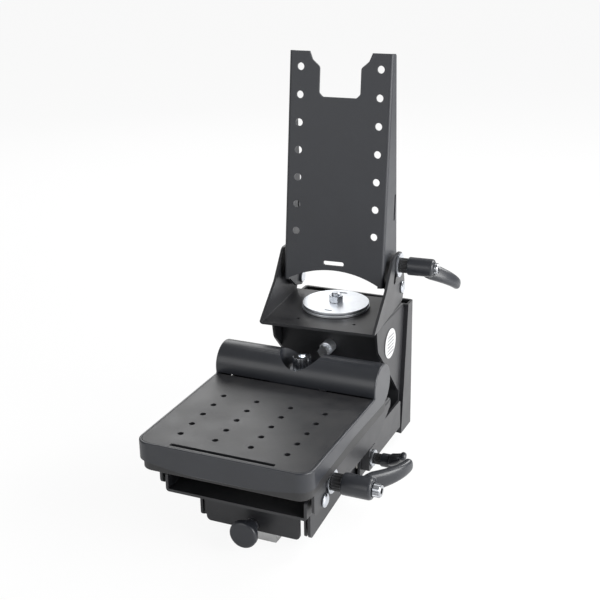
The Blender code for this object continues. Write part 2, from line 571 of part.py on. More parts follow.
def build_yoke(yoke):
    """Swivelling shelf with its two ears, discs, bolt and nut."""
    centre = (0.0, SWIVEL_Y, 0.0)
    shelf = fillet([(-YOKE_HALF + 0.1, SWIVEL_Y - 57.0, 9.0), (YOKE_HALF - 0.1, SWIVEL_Y - 57.0, 3.0),
                    (YOKE_HALF - 0.1, SWIVEL_Y + 36.0, 3.0), (-YOKE_HALF + 0.1, SWIVEL_Y + 36.0, 3.0)])
    holes = [circle((0.0, SWIVEL_Y), 4.3, 24)]
    holes += [circle((x, SWIVEL_Y - 39.0), 1.6, 10) for x in (-24.0, 30.0)]
    bracket = make("yoke", prism("Z", shelf, YOKE_TOP - SHEET, YOKE_TOP, holes), COATED, yoke)
    ear = fillet([(SWIVEL_Y - 56.0, YOKE_TOP - 1.0, 0.0), (SWIVEL_Y - 56.0, YOKE_TOP + 1.5, 1.0),
                  (SWIVEL_Y - 20.0, 96.0, 14.0), (SWIVEL_Y + 3.0, 122.0, 8.0),
                  (SWIVEL_Y + 34.0, 120.0, 12.0), (SWIVEL_Y + 44.0, 84.0, 10.0),
                  (SWIVEL_Y + 36.0, YOKE_TOP - 1.0, 3.0)])
    for sheet in mirrored_sides(YOKE_HALF, ear):
        combine(bracket, sheet, "UNION")
    rest = math.degrees(CLAMP_ANGLE + DISPLAY_REST)
    combine(bracket, prism("X", slot((PIVOT_Y, PIVOT_Z), CLAMP_RADIUS, rest - 16.0, rest + 34.0, 6.8),
                           -90.0, 90.0), "DIFFERENCE")
    combine(bracket, disc("X", (0.0, PIVOT_Y, PIVOT_Z), -90.0, 90.0, 3.6, 16), "DIFFERENCE")
    smooth(make("slip_disc", tube("Z", centre, COLUMN_TOP + GAP, YOKE_TOP - SHEET - GAP, 32.0, 4.4, 32),
                NYLON, yoke))
    smooth(make("swivel_disc_lower", tube("Z", centre, YOKE_TOP + GAP, YOKE_TOP + 2.5, 32.0, 4.4, 40),
                ZINC, yoke))
    upper = prism("Z", circle((0.0, SWIVEL_Y), 31.4, 40), YOKE_TOP + 3.3, YOKE_TOP + 5.3,
                  [circle((0.0, SWIVEL_Y), 4.4, 24), slot((0.0, SWIVEL_Y), 24.0, 84.0, 97.0, 2.6, 4),
                   slot((0.0, SWIVEL_Y), 24.0, 264.0, 276.0, 2.6, 4)])
    smooth(make("swivel_disc_upper", upper, ZINC, yoke))
    bolt = [(COLUMN_TOP - 10.0, 0.0), (COLUMN_TOP - 10.0, 4.0), (YOKE_TOP + 13.5, 4.0),
            (YOKE_TOP + 14.5, 3.0), (YOKE_TOP + 14.5, 0.0)]
    screw = smooth(make("swivel_bolt", turned("Z", centre, bolt, 16), ZINC))
    combine(screw, disc("Z", centre, COLUMN_TOP - 8.5, COLUMN_TOP - SHEET - GAP, 6.5, 6), "UNION")
    make("swivel_nut", nut("Z", centre, YOKE_TOP + 5.6, YOKE_TOP + 11.5, 6.8, 4.2), ZINC, yoke)


def plate_outline():
    """Front outline of the display plate, from the pivot's height."""
    top, low = PIVOT_Z + PLATE_TOP, PIVOT_Z + PLATE_LOW
    floor = PIVOT_Z + PATTERN_Z + 48.9
    half = [(PLATE_HALF, top, 0.0), (29.5, top, 2.0), (26.5, top - 7.5, 4.0), (19.5, top - 13.5, 4.0),
            (19.5, floor + 3.5, 2.5), (16.0, floor, 2.5)]
    right = half
    left = [(-x, z, r) for x, z, r in reversed(half)]
    outline = fillet([(PLATE_HALF, low, 0.0)] + right + left + [(-PLATE_HALF, low, 0.0)])
    bow = arc((0.0, low + 12.5 - 92.0), 92.0, 115.0, 65.0, 14)
    return outline + bow


def build_display(display):
    """Drilled display plate with its two tapered side flanges."""
    holes = [circle((sign * VESA_WIDE / 2.0, PIVOT_Z + PATTERN_Z + (k - 3) * VESA_STEP),
                    VESA_HOLE / 2.0, 16) for sign in (-1.0, 1.0) for k in range(7)]
    bar = PIVOT_Z + PATTERN_Z - 103.0
    holes.append(box_outline(-10.0, bar - 2.0, 10.0, bar + 2.0, 1.9))
    face = PIVOT_Y + PLATE_FACE
    plate = make("display_plate", prism("Y", plate_outline(), face, face + SHEET, holes), COATED, display)
    flange = fillet([(face + 0.05, PIVOT_Z + PLATE_TOP - 0.1, 0.0),
                     (PIVOT_Y - 33.7, PIVOT_Z + PLATE_TOP - 0.1, 3.0),
                     (PIVOT_Y - 1.6, PIVOT_Z + 36.0, 10.0), (PIVOT_Y + 9.0, PIVOT_Z + 10.0, 8.0),
                     (PIVOT_Y + 7.0, PIVOT_Z - 9.0, 7.0), (PIVOT_Y - 14.0, PIVOT_Z - 6.0, 6.0),
                     (face + 8.0, PIVOT_Z + PLATE_LOW + 0.1, 4.0), (face + 0.05, PIVOT_Z + PLATE_LOW + 0.1, 0.0)])
    for sheet in mirrored_sides(PLATE_HALF, flange):
        combine(plate, sheet, "UNION")
    stud_y = PIVOT_Y + CLAMP_RADIUS * math.cos(CLAMP_ANGLE)
    stud_z = PIVOT_Z + CLAMP_RADIUS * math.sin(CLAMP_ANGLE)
    for y, z, radius in ((PIVOT_Y, PIVOT_Z, 3.6), (stud_y, stud_z, 3.4)):
        combine(plate, disc("X", (0.0, y, z), -90.0, 90.0, radius, 16), "DIFFERENCE")
    slit = box_outline(PIVOT_Y - 17.0, PIVOT_Z + 65.0, PIVOT_Y - 13.0, PIVOT_Z + 90.0, 1.9)
    combine(plate, prism("X", slit, -90.0, 90.0), "DIFFERENCE")
    return stud_y, stud_z


build_stand()
build_clamp("rear_clamp", (REAR_Y, REAR_Z), 65.0, None, 52.6, (74.0, 90.0), 2.5,
            (6.2, 7.7, 5.0), 30.0, math.radians(137.0), 0.75, 3.0)
slide = joint("base_slide", (0.0, -150.0, SLIDE_LOW))
build_slide(slide)
build_cradle(slide)
build_clamp("front_clamp", (STUD_Y, STUD_Z), PAN_HALF, slide, 58.0, (81.1, 107.0), 6.7,
            (9.3, 10.3, 7.4), 46.0, math.radians(5.0))
make("front_clamp_nut", nut("X", (0.0, STUD_Y, STUD_Z), 56.4, 61.2, 5.8, 3.2), ZINC, slide)
tray = joint("tray_tilt", (0.0, TILT_Y, TILT_Z), slide)
build_tray(tray)
build_pivots("tray", TILT_Y, TILT_Z, PAN_HALF, CRADLE_HALF, slide)
swivel = joint("yoke_swivel", (0.0, SWIVEL_Y, YOKE_TOP), None, (0.0, 0.0, SWIVEL_REST))
build_yoke(swivel)
build_pivots("display", PIVOT_Y, PIVOT_Z, YOKE_HALF, PLATE_HALF, swivel)
tilt = joint("display_tilt", (0.0, PIVOT_Y, PIVOT_Z), swivel, (DISPLAY_REST, 0.0, 0.0))
clamp_y, clamp_z = build_display(tilt)
build_clamp("upper_clamp", (clamp_y, clamp_z), YOKE_HALF, tilt, 43.0, (64.7, 89.5), 3.7,
            (8.5, 11.5, 7.0), 42.0, math.radians(-38.0) - DISPLAY_REST)
make("upper_clamp_nut", nut("X", (0.0, clamp_y, clamp_z), 41.0, 45.7, 5.8, 3.2), ZINC, tilt)
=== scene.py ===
import json
import math
import bmesh
import bpy
from mathutils import Matrix, Vector
from mathutils.geometry import delaunay_2d_cdt


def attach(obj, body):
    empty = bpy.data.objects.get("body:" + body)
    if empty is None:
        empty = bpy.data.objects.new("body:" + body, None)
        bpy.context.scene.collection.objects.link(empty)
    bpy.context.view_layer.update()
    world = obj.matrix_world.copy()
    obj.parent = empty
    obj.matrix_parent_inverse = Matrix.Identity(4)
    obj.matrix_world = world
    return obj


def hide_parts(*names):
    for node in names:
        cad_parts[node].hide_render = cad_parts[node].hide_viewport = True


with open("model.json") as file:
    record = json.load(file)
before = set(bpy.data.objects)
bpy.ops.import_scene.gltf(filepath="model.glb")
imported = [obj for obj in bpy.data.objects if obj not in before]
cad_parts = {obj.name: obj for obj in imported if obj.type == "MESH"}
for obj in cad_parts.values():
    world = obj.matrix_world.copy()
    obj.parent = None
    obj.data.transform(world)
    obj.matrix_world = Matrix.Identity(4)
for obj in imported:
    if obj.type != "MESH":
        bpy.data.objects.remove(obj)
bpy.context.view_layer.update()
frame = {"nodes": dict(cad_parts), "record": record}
nodes = frame["nodes"]
print("frame loaded:", len(nodes), "pieces")

mm = 0.001  # lengths below are in mm
sheet = 2.5  # folded steel
gap = 0.3  # assembly clearance
studHole = 3.4
trayPivot, frontStud, rearStud = (-257.5, -16.8), (-244.0, -6.5), (-134.0, -41.7)  # (y, z)
rollY, rollZ, rollRadius = -141.5, 35.0, 19.5  # the tray's round back
lockY = rollY + 1.0
clampDegrees, restDegrees = 123.5, -7.5  # the upper clamp's place, the display's lean at rest


def arcPoints(centre, radius, start, end, steps=8):
    points = []
    for i in range(steps + 1):
        angle = math.radians(start + (end - start) * i / steps)
        points.append((centre[0] + radius * math.cos(angle), centre[1] + radius * math.sin(angle)))
    return points


def circlePoints(centre, radius, steps=40):
    return arcPoints(centre, radius, 0.0, 360.0, steps)[:-1]


def roundCorners(corners, steps=7):  # corners are (a, b, radius)
    points = []
    for i, (a, b, radius) in enumerate(corners):
        here = Vector((a, b))
        before = Vector(corners[i - 1][:2]) - here
        after = Vector(corners[(i + 1) % len(corners)][:2]) - here
        if radius <= 0.0:
            points.append((a, b))
            continue
        half = before.angle(after) / 2.0
        reach = radius / math.tan(half)
        centre = here + (before.normalized() + after.normalized()).normalized() * radius / math.sin(half)
        first = here + before.normalized() * reach - centre
        last = here + after.normalized() * reach - centre
        sweep = first.angle_signed(last)
        for k in range(steps + 1):
            spoke = first.copy()
            spoke.rotate(Matrix.Rotation(-sweep * k / steps, 2))
            points.append(tuple(centre + spoke))
    return points


def boxPoints(a0, b0, a1, b1, radius=0.0):
    return roundCorners([(a0, b0, radius), (a1, b0, radius), (a1, b1, radius), (a0, b1, radius)])


def slotPoints(centre, radius, start, end, width, steps=10):
    half = width / 2.0
    outer = arcPoints(centre, radius + half, start, end, steps)
    tip = arcPoints(arcPoints(centre, radius, end, end, 1)[0], half, end, end + 180.0, steps)
    inner = arcPoints(centre, radius - half, end, start, steps)
    first = arcPoints(centre, radius, start, start, 1)[0]
    root = arcPoints(first, half, start + 180.0, start + 360.0, steps)
    return outer + tip[1:-1] + inner + root[1:-1]


def placePoint(axis, a, b, along):  # X draws (y, z), Y draws (x, z), Z draws (x, y)
    return {"X": (along, a, b), "Y": (a, along, b), "Z": (a, b, along)}[axis]


def extrudeOutline(axis, outline, low, high, holes=()):
    loops = [list(outline)] + [list(hole) for hole in holes]
    flat = [Vector(point) for loop in loops for point in loop]
    rims = []
    for loop in loops:
        start = sum(len(rim) for rim in rims)
        rims.append(list(range(start, start + len(loop))))
    points, _, faces, _, _, _ = delaunay_2d_cdt(flat, [], rims, 5, 1e-6)
    bm = bmesh.new()
    lower = [bm.verts.new(placePoint(axis, p[0], p[1], low)) for p in points]
    upper = [bm.verts.new(placePoint(axis, p[0], p[1], high)) for p in points]
    sides = {}
    for face in faces:
        bm.faces.new([lower[i] for i in face])
        bm.faces.new([upper[i] for i in reversed(face)])
        for i in range(len(face)):
            pair = (face[i], face[(i + 1) % len(face)])
            sides.setdefault(frozenset(pair), []).append(pair)
    for pairs in sides.values():
        if len(pairs) == 1:
            i, j = pairs[0]
            bm.faces.new([lower[j], lower[i], upper[i], upper[j]])
    return bm


def turnProfile(axis, centre, profile, sides=64):  # profile is (along, radius)
    bm = bmesh.new()
    rings = []
    for along, radius in profile:
        count = 1 if radius < 1e-6 else sides
        ring = []
        for i in range(count):
            angle = 2.0 * math.pi * i / sides
            shift = placePoint(axis, radius * math.cos(angle), radius * math.sin(angle), along)
            ring.append(bm.verts.new(Vector(centre) + Vector(shift)))
        rings.append(ring)
    closed = profile[0][1] > 1e-6
    for first, second in list(zip(rings, rings[1:])) + ([(rings[-1], rings[0])] if closed else []):
        for i in range(sides):
            j = (i + 1) % sides
            quad = [first[i % len(first)], first[j % len(first)],
                    second[j % len(second)], second[i % len(second)]]
            bm.faces.new(list(dict.fromkeys(quad)))
    return bm


def turnDisc(axis, centre, low, high, radius, sides=48):
    return turnProfile(axis, centre, [(low, 0.0), (low, radius), (high, radius), (high, 0.0)], sides)


def turnTube(axis, centre, low, high, outer, inner, sides=64):
    return turnProfile(axis, centre, [(low, inner), (low, outer), (high, outer), (high, inner)], sides)


def meshObject(name, bm):
    bmesh.ops.recalc_face_normals(bm, faces=bm.faces)
    mesh = bpy.data.meshes.new(name)
    bm.to_mesh(mesh)
    bm.free()
    made = bpy.data.objects.new(name, mesh)
    bpy.context.scene.collection.objects.link(made)
    return made


def combineWith(piece, bm, operation):
    tool = meshObject(piece.name + "_tool" + str(len(piece.modifiers)), bm)
    step = piece.modifiers.new(operation.title(), "BOOLEAN")
    step.operation = operation
    step.solver = "EXACT"
    step.object = tool
    return piece


def cutFrom(piece, bm):
    return combineWith(piece, bm, "DIFFERENCE")


def softenEdges(piece, width, angle=32.0, segments=2):
    step = piece.modifiers.new("Soften", "BEVEL")
    step.width = width
    step.segments = segments
    step.limit_method = "ANGLE"
    step.angle_limit = math.radians(angle)
    step.use_clamp_overlap = True
    step.miter_outer = "MITER_ARC"
    return piece


def evenShading(piece):  # keeps large flat faces free of shading streaks
    step = piece.modifiers.new("Even", "WEIGHTED_NORMAL")
    step.mode = "FACE_AREA"
    step.weight = 100
    step.keep_sharp = True


def settlePiece(piece, body, look, replaced=(), frameMatrix=None, sharp=38.0):
    # applies the modifiers, sets the size in metres and ties the piece to its body
    pieceMesh = bpy.data.meshes.new_from_object(piece.evaluated_get(bpy.context.evaluated_depsgraph_get()))
    tools = [step.object for step in piece.modifiers if step.type == "BOOLEAN"]
    piece.modifiers.clear()
    old = piece.data
    piece.data = pieceMesh
    bpy.data.meshes.remove(old)
    for tool in tools:
        bpy.data.objects.remove(tool, do_unlink=True)
    scale = Matrix.Scale(mm, 4)
    piece.data.transform(scale @ (frameMatrix if frameMatrix else Matrix.Identity(4)))
    for face in piece.data.polygons:
        face.use_smooth = True
    piece.data.set_sharp_from_angle(angle=math.radians(sharp))
    piece.data.materials.clear()
    piece.data.materials.append(look)
    evenShading(piece)
    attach(piece, body)
    if replaced:
        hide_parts(*replaced)
    return piece


def settleSheet(piece, body, node, frameMatrix=None, look="coated", edge=0.35):
    softenEdges(piece, edge)
    settlePiece(piece, body, finishes[look], [node], frameMatrix)


def foldedSheet(name, half, web, far, profile, bend=2.8, thick=sheet, axis="Y"):
    # a channel: one web with two legs, bent from flat sheet, then trimmed to its side profile
    turn = 1.0 if far > web else -1.0
    inner = max(bend - thick, 0.3)
    section = roundCorners([(-half, far, 0.0), (-half, web, bend), (half, web, bend), (half, far, 0.0),
                            (half - thick, far, 0.0), (half - thick, web + turn * thick, inner),
                            (-half + thick, web + turn * thick, inner), (-half + thick, far, 0.0)])
    along = [point[0] for point in profile] if axis == "Y" else [point[1] for point in profile]
    piece = meshObject(name, extrudeOutline(axis, section, min(along) - 5.0, max(along) + 5.0))
    combineWith(piece, extrudeOutline("X", profile, -half - 20.0, half + 20.0), "INTERSECT")
    return piece


swivelY, swivelTop = -60.0, 69.0
pivotY, pivotZ = swivelY + 32.7, 83.5
atSwivel = Matrix.Translation((0.0, swivelY, 0.0))
swivelRest = atSwivel @ Matrix.Rotation(math.radians(4.0), 4, "Z") @ atSwivel.inverted()
atPivot = Matrix.Translation((0.0, pivotY, pivotZ))
displayRest = swivelRest @ atPivot @ Matrix.Rotation(math.radians(restDegrees), 4, "X") @ atPivot.inverted()


def startGroup(name, inputs, outputs):
    tree = bpy.data.node_groups.new(name, "ShaderNodeTree")
    for label, kind, value in inputs:
        made = tree.interface.new_socket(name=label, in_out="INPUT", socket_type=kind)
        made.default_value = value
    for label, kind in outputs:
        tree.interface.new_socket(name=label, in_out="OUTPUT", socket_type=kind)
    return tree, tree.nodes.new("NodeGroupInput"), tree.nodes.new("NodeGroupOutput")


def addNode(tree, kind, values=(), **settings):
    made = tree.nodes.new(kind)
    for label, value in settings.items():
        setattr(made, label, value)
    for key, value in dict(values).items():
        if isinstance(value, bpy.types.NodeSocket):
            tree.links.new(value, made.inputs[key])
        else:
            made.inputs[key].default_value = value
    return made


def mathNode(tree, operation, first, second=0.0, clamp=False):
    made = addNode(tree, "ShaderNodeMath", {0: first, 1: second}, operation=operation, use_clamp=clamp)
    return made.outputs[0]


def product(tree, first, second, clamp=False):
    return mathNode(tree, "MULTIPLY", first, second, clamp)


def mapRange(tree, value, low, high, toLow=0.0, toHigh=1.0):
    return addNode(tree, "ShaderNodeMapRange", {0: value, 1: low, 2: high, 3: toLow, 4: toHigh}).outputs[0]


def noiseNode(tree, vector, scale, detail=3.0, rough=0.55):
    made = addNode(tree, "ShaderNodeTexNoise", {"Vector": vector, "Scale": scale, "Detail": detail,
                                                "Roughness": rough})
    return made.outputs[0]


def buildCoatGrain():
    # powder coat: orange peel, fine pits and slow cloudiness
    tree, entry, leave = startGroup("powderCoatGrain", [
        ("Grain Scale", "NodeSocketFloat", 900.0), ("Peel Scale", "NodeSocketFloat", 260.0),
        ("Cloud Scale", "NodeSocketFloat", 18.0)],
        [("Height", "NodeSocketFloat"), ("Cloud", "NodeSocketFloat"), ("Speck", "NodeSocketFloat")])
    place = addNode(tree, "ShaderNodeTexCoord").outputs["Object"]
    peel = noiseNode(tree, place, entry.outputs["Peel Scale"], 2.0)
    grain = addNode(tree, "ShaderNodeTexVoronoi", {"Vector": place, "Scale": entry.outputs["Grain Scale"]})
    pits = mapRange(tree, grain.outputs["Distance"], 0.0, 0.55)
    height = mathNode(tree, "ADD", product(tree, peel, 0.7), product(tree, pits, 0.3))
    cloud = noiseNode(tree, place, entry.outputs["Cloud Scale"], 5.0, 0.6)
    speck = mapRange(tree, noiseNode(tree, place, entry.outputs["Grain Scale"], 1.0), 0.62, 0.75)
    tree.links.new(height, leave.inputs["Height"])
    tree.links.new(mapRange(tree, cloud, 0.3, 0.7), leave.inputs["Cloud"])
    tree.links.new(speck, leave.inputs["Speck"])
    return tree


def buildEdgeRub():
    # rubbed corners: where the surface turns sharply, broken up by noise
    tree, entry, leave = startGroup("edgeRub", [
        ("Width", "NodeSocketFloat", 0.0006), ("Break Scale", "NodeSocketFloat", 90.0),
        ("Amount", "NodeSocketFloat", 1.0)], [("Mask", "NodeSocketFloat")])
    place = addNode(tree, "ShaderNodeTexCoord").outputs["Object"]
    rounded = addNode(tree, "ShaderNodeBevel", {"Radius": entry.outputs["Width"]}, samples=4)
    flat = addNode(tree, "ShaderNodeNewGeometry")
    facing = addNode(tree, "ShaderNodeVectorMath", {0: rounded.outputs[0], 1: flat.outputs["Normal"]},
                     operation="DOT_PRODUCT").outputs["Value"]
    turning = mapRange(tree, facing, 0.985, 0.86)
    broken = mapRange(tree, noiseNode(tree, place, entry.outputs["Break Scale"], 6.0, 0.7), 0.44, 0.62)
    mask = product(tree, product(tree, turning, broken), entry.outputs["Amount"], True)
    tree.links.new(mask, leave.inputs["Mask"])
    return tree


def buildDustFilm():
    # thin dust that settles on faces that look up
    tree, entry, leave = startGroup("dustFilm", [
        ("Amount", "NodeSocketFloat", 0.3), ("Scale", "NodeSocketFloat", 60.0)],
        [("Mask", "NodeSocketFloat")])
    place = addNode(tree, "ShaderNodeTexCoord").outputs["Object"]
    flat = addNode(tree, "ShaderNodeNewGeometry")
    upward = addNode(tree, "ShaderNodeSeparateXYZ", {0: flat.outputs["Normal"]}).outputs[2]
    level = mapRange(tree, upward, 0.35, 1.0)
    patches = mapRange(tree, noiseNode(tree, place, entry.outputs["Scale"], 7.0, 0.65), 0.35, 0.75)
    mask = product(tree, product(tree, level, patches), entry.outputs["Amount"], True)
    tree.links.new(mask, leave.inputs["Mask"])
    return tree


def buildScratchLines():
    # fine handling scratches: thin noise bands in two directions, kept to patches
    tree, entry, leave = startGroup("scratchLines", [
        ("Scale", "NodeSocketFloat", 60.0), ("Amount", "NodeSocketFloat", 0.5)],
        [("Mask", "NodeSocketFloat")])
    place = addNode(tree, "ShaderNodeTexCoord").outputs["Object"]
    found = []
    for turn in (0.5, -0.9):
        turned = addNode(tree, "ShaderNodeMapping", {"Vector": place, "Rotation": (turn, turn * 0.7, turn),
                                                     "Scale": (1.0, 26.0, 1.0)}).outputs[0]
        line = noiseNode(tree, turned, entry.outputs["Scale"], 3.0, 0.5)
        away = mathNode(tree, "ABSOLUTE", mathNode(tree, "SUBTRACT", line, 0.5))
        found.append(mapRange(tree, away, 0.010, 0.0))
    patch = mapRange(tree, noiseNode(tree, place, 30.0, 3.0), 0.48, 0.62)
    lines = product(tree, mathNode(tree, "MAXIMUM", found[0], found[1]), patch)
    tree.links.new(product(tree, lines, entry.outputs["Amount"], True), leave.inputs["Mask"])
    return tree


def buildMouldGrain():
    # moulded plastic: spark-eroded texture with a slow waviness
    tree, entry, leave = startGroup("mouldGrain", [
        ("Scale", "NodeSocketFloat", 1300.0), ("Wave Scale", "NodeSocketFloat", 22.0)],
        [("Height", "NodeSocketFloat"), ("Wave", "NodeSocketFloat")])
    place = addNode(tree, "ShaderNodeTexCoord").outputs["Object"]
    fine = noiseNode(tree, place, entry.outputs["Scale"], 3.0, 0.6)
    cells = addNode(tree, "ShaderNodeTexVoronoi", {"Vector": place, "Scale": entry.outputs["Scale"]},
                    feature="SMOOTH_F1").outputs["Distance"]
    tree.links.new(mathNode(tree, "ADD", product(tree, fine, 0.6),
                            product(tree, cells, 0.4)), leave.inputs["Height"])
    tree.links.new(mapRange(tree, noiseNode(tree, place, entry.outputs["Wave Scale"], 4.0), 0.3, 0.7),
                   leave.inputs["Wave"])
    return tree


def buildTurnedLines():
    # rings left by turning or rolling, around an upright axis at Centre
    tree, entry, leave = startGroup("turnedLines", [
        ("Centre", "NodeSocketVector", (0.0, 0.0, 0.0)), ("Scale", "NodeSocketFloat", 2600.0)],
        [("Height", "NodeSocketFloat"), ("Blotch", "NodeSocketFloat")])
    place = addNode(tree, "ShaderNodeTexCoord").outputs["Object"]
    moved = addNode(tree, "ShaderNodeVectorMath", {0: place, 1: entry.outputs["Centre"]},
                    operation="SUBTRACT").outputs[0]
    level = addNode(tree, "ShaderNodeVectorMath", {0: moved, 1: (1.0, 1.0, 0.0)},
                    operation="MULTIPLY").outputs[0]
    reach = addNode(tree, "ShaderNodeVectorMath", {0: level}, operation="LENGTH").outputs["Value"]
    steps = product(tree, reach, entry.outputs["Scale"])
    rings = addNode(tree, "ShaderNodeTexNoise", {"W": steps, "Scale": 1.0, "Detail": 2.0},
                    noise_dimensions="1D").outputs[0]
    blotch = mapRange(tree, noiseNode(tree, place, 70.0, 5.0, 0.6), 0.35, 0.7)
    tree.links.new(rings, leave.inputs["Height"])
    tree.links.new(blotch, leave.inputs["Blotch"])
    return tree


groups = {"coat": buildCoatGrain(), "rub": buildEdgeRub(), "dust": buildDustFilm(),
          "scratch": buildScratchLines(), "mould": buildMouldGrain(), "turned": buildTurnedLines()}
print("shader groups built:", len(groups))


def startFinish(name, roughness, metallic=0.0, extra=()):
    made = bpy.data.materials.new(name)
    made.use_nodes = True
    tree = made.node_tree
    shader = tree.nodes["Principled BSDF"]
    shader.inputs["Roughness"].default_value = roughness
    shader.inputs["Metallic"].default_value = metallic
    for label, value in dict(extra).items():
        shader.inputs[label].default_value = value
    return made, tree, shader


def useGroup(tree, key, **values):
    made = addNode(tree, "ShaderNodeGroup", node_tree=groups[key])
    for label, value in values.items():
        made.inputs[label.replace("_", " ")].default_value = value
    return made


def mixColours(tree, amount, first, second):
    made = addNode(tree, "ShaderNodeMix", data_type="RGBA")
    for index, value in ((0, amount), (6, first), (7, second)):
        if isinstance(value, bpy.types.NodeSocket):
            tree.links.new(value, made.inputs[index])
        else:
            made.inputs[index].default_value = (*value, 1.0) if index else value
    return made.outputs[2]


def bumpFrom(tree, shader, height, strength, distance):
    bump = addNode(tree, "ShaderNodeBump", {"Height": height, "Strength": strength, "Distance": distance})
    tree.links.new(bump.outputs[0], shader.inputs["Normal"])


def coatedFinish(name, values):
    made, tree, shader = startFinish(name, values["rough"], 0.0, {"Specular IOR Level": values["gloss"]})
    coat = useGroup(tree, "coat", Grain_Scale=values["grain"], Peel_Scale=values["peel"])
    rub = useGroup(tree, "rub", Amount=values["rub"])
    dust = useGroup(tree, "dust", Amount=values["dust"])
    scratch = useGroup(tree, "scratch", Amount=values["scratch"])
    base = mixColours(tree, coat.outputs["Cloud"], values["dark"], values["light"])
    base = mixColours(tree, product(tree, coat.outputs["Speck"], 0.35), base, values["speck"])
    base = mixColours(tree, dust.outputs["Mask"], base, values["dustColour"])
    base = mixColours(tree, scratch.outputs["Mask"], base, values["rubColour"])
    base = mixColours(tree, rub.outputs["Mask"], base, values["rubColour"])
    tree.links.new(base, shader.inputs["Base Color"])
    rough = mapRange(tree, coat.outputs["Cloud"], 0.0, 1.0, values["rough"] - 0.05, values["rough"] + 0.06)
    rough = mathNode(tree, "ADD", rough, product(tree, dust.outputs["Mask"], 0.3), True)
    tree.links.new(mathNode(tree, "SUBTRACT", rough, product(tree, rub.outputs["Mask"], 0.12)),
                   shader.inputs["Roughness"])
    bumpFrom(tree, shader, coat.outputs["Height"], values["bump"], 0.00006)
    return made


def plasticFinish(name, values):
    made, tree, shader = startFinish(name, values["rough"], 0.0, {"Specular IOR Level": values["gloss"]})
    mould = useGroup(tree, "mould", Scale=values["grain"])
    rub = useGroup(tree, "rub", Amount=values["rub"], Width=0.0009)
    dust = useGroup(tree, "dust", Amount=values["dust"], Scale=90.0)
    base = mixColours(tree, mould.outputs["Wave"], values["dark"], values["light"])
    base = mixColours(tree, dust.outputs["Mask"], base, values["dustColour"])
    base = mixColours(tree, rub.outputs["Mask"], base, values["rubColour"])
    tree.links.new(base, shader.inputs["Base Color"])
    rough = mapRange(tree, mould.outputs["Wave"], 0.0, 1.0, values["rough"] - 0.04, values["rough"] + 0.05)
    tree.links.new(mathNode(tree, "ADD", rough, product(tree, dust.outputs["Mask"], 0.25), True),
                   shader.inputs["Roughness"])
    bumpFrom(tree, shader, mould.outputs["Height"], values["bump"], 0.00005)
    return made


def metalFinish(name, values):
    made, tree, shader = startFinish(name, values["rough"], 1.0)
    lines = useGroup(tree, "turned", Centre=values.get("centre", (0.0, 0.0, 0.0)), Scale=values["lines"])
    scratch = useGroup(tree, "scratch", Amount=values["scratch"], Scale=90.0)
    base = mixColours(tree, lines.outputs["Blotch"], values["dark"], values["light"])
    base = mixColours(tree, scratch.outputs["Mask"], base, values["scratchColour"])
    tree.links.new(base, shader.inputs["Base Color"])
    low, high = values["rough"] - 0.05, values["rough"] + 0.07
    rough = mapRange(tree, lines.outputs["Blotch"], 0.0, 1.0, low, high)
    rough = mathNode(tree, "ADD", rough, product(tree, scratch.outputs["Mask"], 0.2), True)
    tree.links.new(rough, shader.inputs["Roughness"])
    bumpFrom(tree, shader, lines.outputs["Height"], values["bump"], 0.00003)
    return made


coatValues = {"dark": (0.0105, 0.0110, 0.0130), "light": (0.0165, 0.0170, 0.0195),
              "speck": (0.030, 0.031, 0.034), "dustColour": (0.09, 0.088, 0.084),
              "rubColour": (0.065, 0.065, 0.068), "rough": 0.42, "gloss": 0.5, "grain": 1500.0,
              "peel": 620.0, "rub": 0.45, "dust": 0.16, "scratch": 0.10, "bump": 0.5}
plasticValues = {"dark": (0.012, 0.0135, 0.0175), "light": (0.018, 0.020, 0.025),
                 "dustColour": (0.08, 0.08, 0.08), "rubColour": (0.045, 0.047, 0.052), "rough": 0.36,
                 "gloss": 0.5, "grain": 2600.0, "rub": 0.4, "dust": 0.10, "bump": 0.35}
metalValues = {"dark": (0.76, 0.785, 0.82), "light": (0.86, 0.885, 0.92), "scratchColour": (0.5, 0.52, 0.55),
               "rough": 0.27, "lines": 2600.0, "scratch": 0.35, "bump": 0.2}
lockCentre = (0.0, lockY * mm, 0.0)
